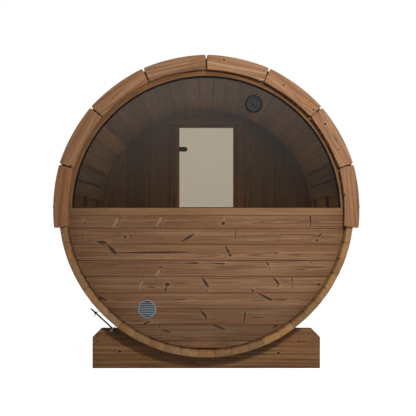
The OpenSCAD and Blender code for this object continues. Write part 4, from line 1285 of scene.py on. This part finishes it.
class SAUNA_OT_door(bpy.types.Operator):
    """Hangs the glass door: its satin pane, the hinges on both sides and the wooden handle"""

    bl_idname = "sauna.door"
    bl_label = "Door and hinges"

    def execute(self, context):
        show_node("door_glass", "door_glass")
        self.hinges()
        self.brackets()
        self.handle()
        return {"FINISHED"}

    def hinges(self):
        """Plates on both faces of the glass, arms out to the pin with a knuckle each, and domed bolts."""
        piece = Piece("door_hinge_plates", "black_metal", seed=101)
        bolts = Piece("hinge_bolts", "black_metal", seed=102)
        outline = stadium(DOOR_LOW[0] + 3, BOLT_X, PLATE_HALF)
        bolt = [(-0.5, 9.5), (1.8, 9.5), (2.8, 8.6), (3.0, 6.4), (1.0, 5.4), (0.9, 4.6)]
        low_y, far_x = FRAME_HIGH[1] + 5.5, DOOR_LOW[0] + 16
        arm = [(PIN_X, low_y), (far_x, low_y), (far_x, PIN_Y - 1), (PIN_X, PIN_Y)]
        arm = softened(arm, (1, 1, 3, 1), 3)
        for level in HINGE_LEVELS:
            for low in (DOOR_LOW[1] - PLATE_GAP - PLATE_THICK, DOOR_HIGH[1] + PLATE_GAP):
                plate = sawn(outline, low, low + PLATE_THICK, 1.6)
                piece.solid(plate, place=placed((0, 0, level), Y, X, Z))
            piece.solid(sawn(arm, level - 11.7, level + 11.7, 0.8), place=placed((0, 0, 0), Z, X, Y))
            knuckle = domed(KNUCKLE_R, level - KNUCKLE_HALF, level + KNUCKLE_HALF, 1.0)
            add_round(piece, knuckle, placed((PIN_X, PIN_Y, 0), Z, X, Y))
            for face, way in ((DOOR_LOW[1], -1), (DOOR_HIGH[1], 1)):
                place = placed((BOLT_X, face + way * (PLATE_GAP + PLATE_THICK), level), way * Y, X, Z)
                add_round(bolts, bolt, place)
        piece.finish("door_hinges", body="door")
        bolts.finish(body="door")

    def brackets(self):
        """A plate on the frame's face, two webs with a knuckle each, the pin through them, and screws."""
        piece = Piece("frame_hinge_brackets", "black_metal", seed=103)
        plate, face = 4.0, FRAME_HIGH[1] + 0.3
        near_x, web_x = PIN_X - KNUCKLE_R, PIN_X - KNUCKLE_R - plate
        web = softened(oblong(web_x, PIN_X, face, PIN_Y), (0.6, 2, 0.6, 6), 3)
        pin = placed((PIN_X, PIN_Y, 0), Z, X, Y)
        for level in HINGE_LEVELS:
            low, high = level - BRACKET_HALF, level + BRACKET_HALF
            outline = softened(oblong(web_x - 12, near_x, low, high), 3, 3)
            piece.solid(sawn(outline, face, face + plate, 0.8), place=placed((0, 0, 0), Y, X, Z))
            for start in (low, high - END_KNUCKLE):
                piece.solid(sawn(web, start, start + END_KNUCKLE, 0.8), place=placed((0, 0, 0), Z, X, Y))
                add_round(piece, domed(KNUCKLE_R, start, start + END_KNUCKLE, 0.9), pin)
            add_round(piece, domed(4.0, low - 1.5, high + 1.5, 1.5), pin, 24)
            for z in (level - 16, level + 16):
                place = placed((web_x - 5.5, face + plate, z), Y, X, Z)
                add_round(piece, [(-0.5, 3.8), (0.6, 3.6), (1.3, 2.6), (0.8, 1.4)], place, 20)
        piece.finish("hinge_brackets")

    def handle(self):
        """A bar on each side of the glass, held by two rods that have a collar on each face of it."""
        bars = Piece("door_handle_bars", "handle_wood", seed=104, knotty=0.0)
        bolts = Piece("handle_bolts", "black_metal", seed=105)
        low, high = HANDLE_LOW, HANDLE_HIGH
        middle_x, half = (low[0] + high[0]) / 2, (high[0] - low[0]) / 2
        outline = section(-half, half, -half, half, 9.0, 5)
        for near in (low[1], high[1] - 2 * half):
            rings, cells = laid(outline, fixed(low[2]), fixed(high[2]), 5.0, (0.5,))
            bars.solid(rings, cells, placed((middle_x, near + half, 0), *UP_AXES))
        inside, outside = DOOR_LOW[1], DOOR_HIGH[1]
        steps = [(low[1] + 2 * half - 3, 7), (inside - 3, 7), (inside - 2.8, 11), (inside - 0.2, 11)]
        steps += [(outside + 0.2, 11), (outside + 2.8, 11), (outside + 3, 7), (high[1] - 2 * half + 3, 7)]
        for share in (1 / 6, 5 / 6):
            add_round(bolts, steps, placed((middle_x, 0, low[2] + share * (high[2] - low[2])), Y, X, Z), 28)
        bars.finish("door_handle", body="door")
        bolts.finish(body="door")


# ---------------------------------------------------------------- inside

# Backrest: its slats, their gap, the battens behind them, and the angle of its lower edge over the axis
SLAT_WIDTH, SLAT_THICK, SLAT_GAP, BATTEN_THICK, BATTEN_WIDTH, SLAT_START = 100.0, 22.0, 8.0, 16.0, 45.0, 7.1
CLEAT_WIDTH, CLEAT_LEAN = 74.0, 17.0
FLOOR_SLATS, FLOOR_GAP, BEARER_WIDTH = 8, 10.0, 40.0


class SAUNA_OT_inside(bpy.types.Operator):
    """Fits the backrests with their battens, the wall cleats and the duckboard"""

    bl_idname = "sauna.inside"
    bl_label = "Backrests and duckboard"

    def execute(self, context):
        for side, word in ((-1, "left"), (1, "right")):
            self.backrest(side, word)
            self.cleat(side, word)
        self.duckboard()
        return {"FINISHED"}

    def backrest(self, side, word):
        """Two slats laid square to the radius at their middles, on three battens."""
        piece = Piece(f"{word}_backrest_slats", "inner_wood", seed=111 + side, knotty=0.5)
        width, thick = SLAT_WIDTH, SLAT_THICK
        face = INNER_R - 0.3 - BATTEN_THICK - thick
        low_y, high_y = BACKREST_LOW[1], BACKREST_HIGH[1]
        turn = 2 * math.degrees(math.atan(width / 2 / face))
        step = turn + 2 * math.degrees(math.atan(SLAT_GAP / 2 / face))
        mirror = np.array([side, 1, 1])
        # The lower slat's higher tone is painted light, where the backrest's lower edge catches light.
        for number, tone in enumerate((0.95, 0.6)):
            outward, sideways = turned_axes(SLAT_START + turn / 2 + number * step)
            outline = section(-width / 2, width / 2, face, face + thick, 3.5, 3)
            rings, cells = laid(outline, fixed(low_y), fixed(high_y), 2.0, (0.25, 0.5, 0.75))
            piece.solid(rings, cells, placed((0, 0, 0), Y, sideways * mirror, outward * mirror), tone=tone)
        back, out = face + thick, INNER_R - 0.5
        start, stop = SLAT_START - 9, SLAT_START + step + turn - 1
        first, last = low_y + 20, high_y - BATTEN_WIDTH - 60
        for y in (first, (first + last) / 2, last):
            self.batten(piece, side, back + 0.1, out, y, y + BATTEN_WIDTH, start, stop)
        piece.finish(f"{word}_backrest")

    def batten(self, piece, side, back, out, y_low, y_high, start, stop):
        """A batten sawn to the curve of the staves: its outline of (radius, y) carried round the axis."""
        outline = section(back, out, y_low, y_high, 1.5, 2)
        outward, sideways = turned_axes((start + stop) / 2)
        rings = [spun(outline, angle, side) for angle in np.radians(np.linspace(start, stop, 10))]
        axes = np.array([sideways, Y, outward]) * (side, 1, 1)
        # Tone 0.0 makes the batten darkest: painted shade under the backrest.
        piece.solid(rings, fibres=lambda points: points @ axes.T, marks=[NO_MARK], tone=0.0)

    def cleat(self, side, word):
        """A board with a straight inner edge whose outer edge follows the staves."""
        piece = Piece(f"{word}_cleat_board", "inner_wood", seed=121 + side, knotty=0.2)
        radius = WALL_R - 0.8
        outward, sideways = turned_axes(CLEAT_LEAN)
        mirror = np.array([side, 1, 1])
        half = (CLEAT_HIGH[1] - CLEAT_LOW[1]) / 2
        inner = WALL_R - CLEAT_WIDTH
        reach = math.sqrt(radius**2 - (inner + 7) ** 2)
        rings = [
            at(x, section(inner, math.sqrt(radius**2 - x * x), -half, half, 2.5, 3))
            for x in np.linspace(-reach, reach, 31)
        ]
        origin = (0, (CLEAT_LOW[1] + CLEAT_HIGH[1]) / 2, 0)
        piece.solid(rings, None, placed(origin, sideways * mirror, outward * mirror, Y), tone=0.7)
        piece.finish(f"{word}_wall_cleat")

    def duckboard(self):
        """Slats along the barrel on bearers whose undersides follow the circle of the staves."""
        piece = Piece("duckboard_slats", "inner_wood", seed=131, knotty=0.5)
        pitch = (FLOOR_HIGH[0] - FLOOR_LOW[0] + FLOOR_GAP) / FLOOR_SLATS
        top = FLOOR_HIGH[2]
        for number in range(FLOOR_SLATS):
            left = FLOOR_LOW[0] + number * pitch
            outline = section(left, left + pitch - FLOOR_GAP, top - SLAT_THICK, top, 3.0, 3)
            rings, cells = laid(outline, fixed(FLOOR_LOW[1]), fixed(FLOOR_HIGH[1]), 1.5, (0.25, 0.5, 0.75))
            piece.solid(rings, cells, placed((0, 0, 0), Y, -X, Z))
        first, last = FLOOR_LOW[1] + 60, FLOOR_HIGH[1] - 100
        under = top - SLAT_THICK - 0.2
        reach = math.sqrt((INNER_R - 0.8) ** 2 - (under - 3) ** 2)
        for y in (first, (first + last) / 2, last):
            rings = [
                at(x, section(-math.sqrt((INNER_R - 0.8) ** 2 - x * x), under, y, y + BEARER_WIDTH, 1.4, 2))
                for x in np.linspace(-reach, reach, 25)
            ]
            piece.solid(rings, None, placed((0, 0, 0), X, Z, Y), marks=[NO_MARK])
        piece.finish("duckboard")


# ---------------------------------------------------------------- hoops and tie rods

TIE_ANGLE = 227.5
TIE_R, LUG_GAP, LUG_THICK, LUG_OVER = FACE_R + 37.0, 77.0, 5.0, 29.0
ROD_R, ROD_LENGTH, NUT_FLATS, NUT_THICK = 6.0, 258.0, 19.0, 10.0
HOOP_R = FACE_R / math.cos(math.pi / STAVE_COUNT) + 0.3
HOOP_THICK = 1.5


class SAUNA_OT_hoops(bpy.types.Operator):
    """Puts the steel hoops round the staves, each drawn tight by a threaded rod between two lugs"""

    bl_idname = "sauna.hoops"
    bl_label = "Hoops and tie rods"

    def execute(self, context):
        for seed, word in enumerate(("rear", "middle", "front")):
            low, high = corners_of(f"hoop_{word}")
            self.hoop(word, low[1], high[1], 141 + seed)
            self.tie_rod(word, (low[1] + high[1]) / 2, 151 + seed)
        return {"FINISHED"}

    def hoop(self, word, low, high, seed):
        """The strap's outline carried round the barrel from one lug to the other."""
        strap = Piece(f"{word}_hoop_strap", "hoop_steel", seed=seed)
        spread = math.degrees(math.asin(LUG_GAP / HOOP_R))
        outline = section(low, high, HOOP_R, HOOP_R + HOOP_THICK, 0.5, 2)[:, ::-1]
        angles = np.radians(np.linspace(TIE_ANGLE + spread, TIE_ANGLE + 360 - spread, 217))
        strap.solid([spun(outline, angle) for angle in angles])
        strap.finish(f"hoop_{word}")
        lugs = Piece(f"{word}_hoop_lugs", "hoop_steel", seed=seed + 5)
        outward, sideways = turned_axes(TIE_ANGLE)
        foot, head = HOOP_R * math.cos(math.radians(spread)) + 0.5, TIE_R + LUG_OVER
        outline = softened(oblong(low + 1, high - 1, foot, head), (1, 1, 9, 9), 5)
        for end in (-1, 1):
            near = end * LUG_GAP - LUG_THICK / 2
            lug = sawn(outline, near, near + LUG_THICK, 0.8)
            lugs.solid(lug, place=placed((0, 0, 0), sideways, Y, outward))
        lugs.finish(material=finish_of("lug_steel"))

    def tie_rod(self, word, y, seed):
        """A rod whose radius rises and falls as a triangle wave that climbs one pitch a turn, and two nuts.

        A nut's radius is the smaller of its hexagon's at that angle and of the cone that bevels it.
        """
        piece = Piece(f"{word}_tie_rod", "rod_steel", seed=seed)
        outward, sideways = turned_axes(TIE_ANGLE)
        place = placed(TIE_R * outward + y * Y, sideways, Y, outward)
        pitch = size("thread_pitch")
        along = np.arange(-ROD_LENGTH / 2, ROD_LENGTH / 2 + 0.01, pitch / 4)
        angle = np.linspace(0, 2 * np.pi, 14, endpoint=False)
        phase = along[:, None] / pitch - angle[None] / (2 * np.pi)
        taper = np.minimum(1, (ROD_LENGTH / 2 - np.abs(along)) / 2.0)[:, None]
        radius = ROD_R - 0.9 * np.abs(2 * (phase % 1) - 1) - (1 - taper) * 1.2
        piece.solid(self.turned(along, radius, angle), place=place)
        angle = np.linspace(0, 2 * np.pi, 48, endpoint=False)
        hexagon = NUT_FLATS / 2 / np.cos((angle + np.pi / 6) % (np.pi / 3) - np.pi / 6)
        levels = np.array([0, 0.4, 1.2, 2.2, NUT_THICK - 2.2, NUT_THICK - 1.2, NUT_THICK - 0.4, NUT_THICK])
        cone = NUT_FLATS / 2 * 0.97 + 1.7 * np.minimum(levels, NUT_THICK - levels)
        radius = np.minimum(hexagon[None], cone[:, None])
        for end in (-1, 1):
            where = end * (LUG_GAP + LUG_THICK / 2 + 0.3 + levels)
            piece.solid(self.turned(where, radius, angle), place=place)
        piece.finish(f"tie_rod_{word}", sharp=50)

    @staticmethod
    def turned(along, radius, angle):
        """Rings down an axis from a table of radii, a row a place along it and a column an angle."""
        where = np.broadcast_to(along[:, None], radius.shape)
        return np.stack([where, radius * np.cos(angle), radius * np.sin(angle)], -1)


# ---------------------------------------------------------------- roof

SHINGLE_WIDTH, SHINGLE_LAP, SHINGLE_THICK, SHINGLE_GAP = 333.0, 42.0, 2.6, 5.0
# Heights over the roof of a tab's lower and upper end, and the ridge caps: count, reach and lap
BUTT_HEIGHT, HEAD_HEIGHT = 4.9, 2.3
CAPS, CAP_REACH, CAP_LAP = 13, 118.0, 40.0
# Top of the strip that closes the courses' ends, the drip tip's height, and its leg's length
VERGE_TOP, TIP_HEIGHT, DRIP_LEG = 26.5, 18.0, 60.0
ROOF_R = HOOP_R + HOOP_THICK + 0.3


def layer(up, under, thick):
    """Closed outline of a thin sheet from its places up the slope, its underside and its thickness."""
    under, over = np.broadcast_arrays(under, under + thick, up)[:2]
    return np.concatenate([np.column_stack([up, under]), np.column_stack([up, over])[::-1]])


class SAUNA_OT_roof(bpy.types.Operator):
    """Lays shingles in courses up each side, caps the ridge and folds the drip edges"""

    bl_idname = "sauna.roof"
    bl_label = "Shingles and drip edges"

    def execute(self, context):
        for seed, (side, word) in enumerate(((-1, "left"), (1, "right"))):
            self.slope(side, word, 161 + seed)
            self.drip_edge(side, word, 171 + seed)
        self.ridge()
        return {"FINISHED"}

    @staticmethod
    def curved(side, start_angle):
        """A rule that carries (along Y, distance up the slope, height over the roof) onto the barrel."""

        def place(local):
            angle = start_angle + local[:, 1] / ROOF_R
            radius = ROOF_R + local[:, 2]
            return np.column_stack([side * radius * np.cos(angle), local[:, 0], radius * np.sin(angle)])

        return place

    def slope(self, side, word, seed):
        """Felt under courses of tabs, each with its butt end on the course below, and the verge strips."""
        piece = Piece(f"roof_{word}_shingles", "roof_bitumen", seed=seed)
        low_angle = math.asin(ROOF_LOW[2] / ROOF_R)
        place = self.curved(side, low_angle)
        run = (math.pi / 2 - low_angle) * ROOF_R
        y_low, y_high = ROOF_LOW[1], ROOF_HIGH[1]
        up = np.linspace(0.5, run - 0.3, 40)
        piece.solid([at(y, layer(up, 0.1, 2.1)) for y in (y_low, y_high)], place=place, tone=0.1)
        courses = bpy.context.scene.sauna_sizes.shingle_courses
        shown = run / courses
        for course in range(courses):
            edges = np.arange(y_low - (course % 2) * SHINGLE_WIDTH / 2, y_high, SHINGLE_WIDTH)
            for edge in edges:
                near, far = max(edge, y_low), min(edge + SHINGLE_WIDTH, y_high)
                if far - near > 20:
                    top = min((course + 1) * shown + SHINGLE_LAP, run - 0.4)
                    self.tab(piece, place, near, far - SHINGLE_GAP * (far < y_high), course * shown, top)
        for y in (y_low, y_high - 3):
            strip = section(y, y + 3, 2.4, VERGE_TOP, 1.2, 2)
            rings = [at(u, strip)[:, [1, 0, 2]] for u in up]
            piece.solid(rings, place=place, tone=0.1)
        piece.finish(f"roof_{word}")

    def tab(self, piece, place, near, far, low, top):
        """One tab: a thin outline up the slope carried along the roof, with its lower corners clipped."""
        rings = []
        clips = (near, 15), (near + 7, 4), (near + 16, 0.5), (far - 16, 0.5), (far - 7, 4), (far, 15)
        for y, clip in clips:
            up = low + clip + (top - low - clip) * np.array([0, 0.02, 0.35, 0.7, 1.0])
            under = BUTT_HEIGHT + (HEAD_HEIGHT - BUTT_HEIGHT) * (up - low) / (top - low)
            rings.append(at(y, layer(up, under, SHINGLE_THICK * np.array([0.75, 1, 1, 1, 0.9]))))
        tone = float(np.clip(0.5 + 0.2 * piece.random.standard_normal(), 0.1, 0.95))
        piece.solid(rings, place=place, tone=tone)

    def ridge(self):
        """Caps bent over the ridge, each lapped over the one behind it."""
        piece = Piece("roof_ridge_caps", "roof_bitumen", seed=181)
        low, high = ROOF_LOW[1], ROOF_HIGH[1]
        shown = (high - low) / CAPS
        up = np.linspace(-CAP_REACH, CAP_REACH, 17)
        place = self.curved(1, math.pi / 2)
        for number in range(CAPS):
            start, stop = low + number * shown, min(low + (number + 1) * shown + CAP_LAP, high)
            rings = []
            for share in (0, 0.02, 0.5, 1.0):
                thick, width = (0.7, 0.985) if share == 0 else (1, 1)
                outline = layer(up * width, 9.6 - 2.4 * share, SHINGLE_THICK * thick)
                rings.append(at(start + (stop - start) * share, outline))
            tone = float(np.clip(0.5 + 0.18 * piece.random.standard_normal(), 0.1, 0.9))
            piece.solid(rings, place=place, tone=tone)
        piece.finish()

    def drip_edge(self, side, word, seed):
        """Folded sheet: a leg on the hoops and a plate that runs out to the drip tip."""
        piece = Piece(f"{word}_drip_sheet", "drip_metal", seed=seed)
        tip, top = DRIP_HIGH[0], DRIP_HIGH[2]
        leg = top - DRIP_LEG
        outline = softened(
            [
                (ROOF_R, leg), (ROOF_R + 2, leg), (ROOF_R + 2, top - 12), (ROOF_R + 4, top - 12),
                (tip - 3, TIP_HEIGHT), (tip, TIP_HEIGHT), (ROOF_R + 8, top), (ROOF_R, top),
            ],
            (0.5, 0.5, 0.6, 0.6, 1.2, 1.2, 3, 1), 3,
        )
        piece.solid(sawn(outline, DRIP_LOW[1], DRIP_HIGH[1], 0.5), place=placed((0, 0, 0), Y, side * X, Z))
        piece.finish(f"drip_edge_{word}")


# ---------------------------------------------------------------- cradles

CRADLE_TOP, CRADLE_CHAMFER = 275.0, 55.0
# Knots on the rear cradle, as for the rear wall; heights are over the ground
CRADLE_MARKS = (
    ((-759, 186, 6), None), ((-605, 118, 8), None), ((-581, 226, 5), (-560, 214, 26, 10, 3)),
    ((-317, 110, 6), None), (None, (-120, 40, 60, 2, 3)), (None, (150, 70, 70, -3, 3)),
    ((503, 106, 8), None), ((645, 186, 6), (668, 188, 24, 4, 2.5)),
)


class SAUNA_OT_cradles(bpy.types.Operator):
    """Shapes the two cradles that carry the barrel"""

    bl_idname = "sauna.cradles"
    bl_label = "Cradles"

    def execute(self, context):
        for seed, word in enumerate(("rear", "front")):
            self.cradle(f"cradle_{word}", word, 191 + seed)
        return {"FINISHED"}

    def cradle(self, node, word, seed):
        """Its section carried across, with its top at the shoulder, the chamfer or the barrel's arc."""
        low, high = corners_of(node)
        ground, half_w = low[2], high[0]
        half = (high[1] - low[1]) / 2
        seat = HOOP_R + 0.3
        shoulder = ground + CRADLE_TOP
        edge_x = math.sqrt(seat**2 - shoulder**2)
        arc = np.sin(np.linspace(-1, 1, 61) * math.asin(edge_x / seat)) * seat
        flat_end = half_w - CRADLE_CHAMFER
        flat = np.array([edge_x + 0.6, edge_x + 60, flat_end - 1, flat_end + 1])
        slope = np.array([half_w - 2.2, half_w - 0.8, half_w])
        places = np.concatenate([-slope[::-1], -flat[::-1], arc, flat, slope])
        rings = []
        for x in places:
            distance = abs(x)
            top = shoulder if distance > edge_x else -math.sqrt(seat**2 - x * x)
            top = min(top, shoulder - max(0.0, distance - flat_end))
            ease = 2.5 if distance < half_w - 2 else max(0.4, 2.5 - (distance - half_w + 2.2))
            pull = max(0.0, distance - (half_w - 2.2)) * 0.7
            deep = half - pull
            rings.append(at(x, section(ground + pull * 0.5, top - pull, -deep, deep, ease, 2, 3)))
        cells, marks = None, None
        if word == "rear":
            marks, middles = marks_of(raised(CRADLE_MARKS, ground))
            cells = np.searchsorted(middles, (places[:-1] + places[1:]) / 2)
        piece = Piece(f"{word}_cradle_timber", "cradle_wood", seed=seed, knotty=0.6)
        piece.solid(
            rings, cells, placed((0, (low[1] + high[1]) / 2, 0), *REAR_AXES), marks=marks, tone=0.58,
            pith=(ground - 60, -40, 6.0),
        )
        piece.finish(node)


# ---------------------------------------------------------------- stage

CAMERA_BACK, CAMERA_HEIGHT, CAMERA_LENS = 5.145, 1.012, 54.19
CAMERA_SHIFT = (0.0041, 0.0373)
# Lamps as (name, place, diameter, watts), the room's brightness by the sine of the height looked at, as a
# mirror sees it, and the share of it that lights matt surfaces
LAMPS = (
    ("key", (0.76, -3.35, 1.86), 0.28, 74.0),
    ("side", (2.8, -3.2, 3.0), 1.6, 12.0),
    ("front", (2.5, 9.0, 4.5), 2.0, 500.0),
    ("inside", (0.0, -0.1, 0.42), 1.1, 8.6),
)
ROOM_LIGHT = ((0.0, 0.1), (0.03, 0.12), (0.22, 0.85), (0.5, 0.38))
ROOM_SHARE = 0.36
FLOOR_GLOW = 0.91


class SAUNA_OT_stage(bpy.types.Operator):
    """Sets the pale floor, the soft studio light and the camera level behind the barrel"""

    bl_idname = "sauna.stage"
    bl_label = "Floor, light and camera"

    def execute(self, context):
        scene = context.scene
        self.floor(scene)
        self.world(scene)
        self.lamps(scene)
        camera = bpy.data.objects.new("camera", bpy.data.cameras.new("camera"))
        camera.data.lens = CAMERA_LENS
        camera.data.shift_x, camera.data.shift_y = CAMERA_SHIFT
        camera.location = (0, -CAMERA_BACK, CAMERA_HEIGHT)
        camera.rotation_euler = (math.pi / 2, 0, 0)
        scene.collection.objects.link(camera)
        scene.camera = camera
        scene.view_settings.view_transform = "Standard"
        return {"FINISHED"}

    def floor(self, scene):
        """A pale plane, a grid of squares, that carries soft shadows."""
        cells = 8
        grid = np.linspace(-40.0, 40.0, cells + 1)
        x, y = np.meshgrid(grid, grid, indexing="ij")
        points = np.column_stack([x.ravel(), y.ravel(), np.zeros(x.size)])
        i, j = np.meshgrid(np.arange(cells), np.arange(cells), indexing="ij")
        corner = (i * (cells + 1) + j).ravel()
        faces = corner[:, None] + [0, cells + 1, cells + 2, 1]
        mesh = bpy.data.meshes.new("floor")
        mesh.from_pydata(points.tolist(), [], faces.tolist())
        mesh.materials.append(material_of("Floor, pale plaster", plaster))
        floor = bpy.data.objects.new("floor", mesh)
        scene.collection.objects.link(floor)

    def world(self, scene):
        """White to the eye, and to all else a room that is dim at eye level and brighter over it."""
        world = bpy.data.worlds.new("studio")
        world.use_nodes = True
        tree = world.node_tree
        tree.nodes.clear()
        height = add(tree, "SeparateXYZ", add(tree, "TexCoord").outputs["Generated"]).outputs["Z"]
        rise = add(tree, "ValToRGB", height, stops=[(where, [bright] * 3) for where, bright in ROOM_LIGHT])
        eye = add(tree, "LightPath").outputs
        share = add(tree, "MULTIPLY", eye["Is Glossy Ray"], 1 - ROOM_SHARE)
        lit = add(tree, "Background", rise, add(tree, "ADD", share, ROOM_SHARE))
        shown = add(tree, "Background", (1, 1, 1), 1.0)
        add(tree, "OutputWorld", {"Surface": add(tree, "MixShader", eye["Is Camera Ray"], lit, shown)})
        scene.world = world

    def lamps(self, scene):
        """Key and side lamps on the right of the rear end, one for the front end and one in the cabin."""
        for name, place, size, power in LAMPS:
            lamp = bpy.data.lights.new(name, "AREA")
            lamp.shape, lamp.size, lamp.energy = "DISK", size, power
            made = bpy.data.objects.new(name, lamp)
            made.location = place
            aim = np.array([0, 0, 1.0]) - place
            made.rotation_euler = (
                math.atan2(math.hypot(aim[0], aim[1]), -aim[2]), 0, math.atan2(aim[1], aim[0]) - math.pi / 2
            )
            made.visible_glossy = made.visible_camera = False
            scene.collection.objects.link(made)


# ---------------------------------------------------------------- add-on

PIECES = (
    SAUNA_OT_staves, SAUNA_OT_rear_wall, SAUNA_OT_window, SAUNA_OT_vents, SAUNA_OT_trims,
    SAUNA_OT_front_wall, SAUNA_OT_door_frame, SAUNA_OT_door, SAUNA_OT_inside, SAUNA_OT_hoops,
    SAUNA_OT_roof, SAUNA_OT_cradles, SAUNA_OT_stage,
)


class SAUNA_PT_panel(bpy.types.Panel):
    """Lists the sauna's sizes, its colours and its operators"""

    bl_idname = "SAUNA_PT_panel"
    bl_label = "Barrel sauna"
    bl_space_type = "VIEW_3D"
    bl_region_type = "UI"
    bl_category = "Sauna"

    def draw(self, context):
        for group, holder in ((SaunaSizes, "sauna_sizes"), (SaunaColours, "sauna_colours")):
            for name in group.__annotations__:
                self.layout.prop(getattr(context.scene, holder), name)
        for operator in PIECES:
            self.layout.operator(operator.bl_idname)


CLASSES = (SaunaSizes, SaunaColours, *PIECES, SAUNA_PT_panel)


def register():
    """Registers the classes and puts the sizes and colours on the scene."""
    for made in CLASSES:
        bpy.utils.register_class(made)
    bpy.types.Scene.sauna_sizes = bpy.props.PointerProperty(type=SaunaSizes)
    bpy.types.Scene.sauna_colours = bpy.props.PointerProperty(type=SaunaColours)


def unregister():
    """Takes the sizes, the colours and the classes away again."""
    del bpy.types.Scene.sauna_colours
    del bpy.types.Scene.sauna_sizes
    for made in reversed(CLASSES):
        bpy.utils.unregister_class(made)


def main():
    """Builds every piece."""
    register()
    for operator in PIECES:
        group, name = operator.bl_idname.split(".")
        getattr(getattr(bpy.ops, group), name)()


if __name__ == "__main__":
    main()
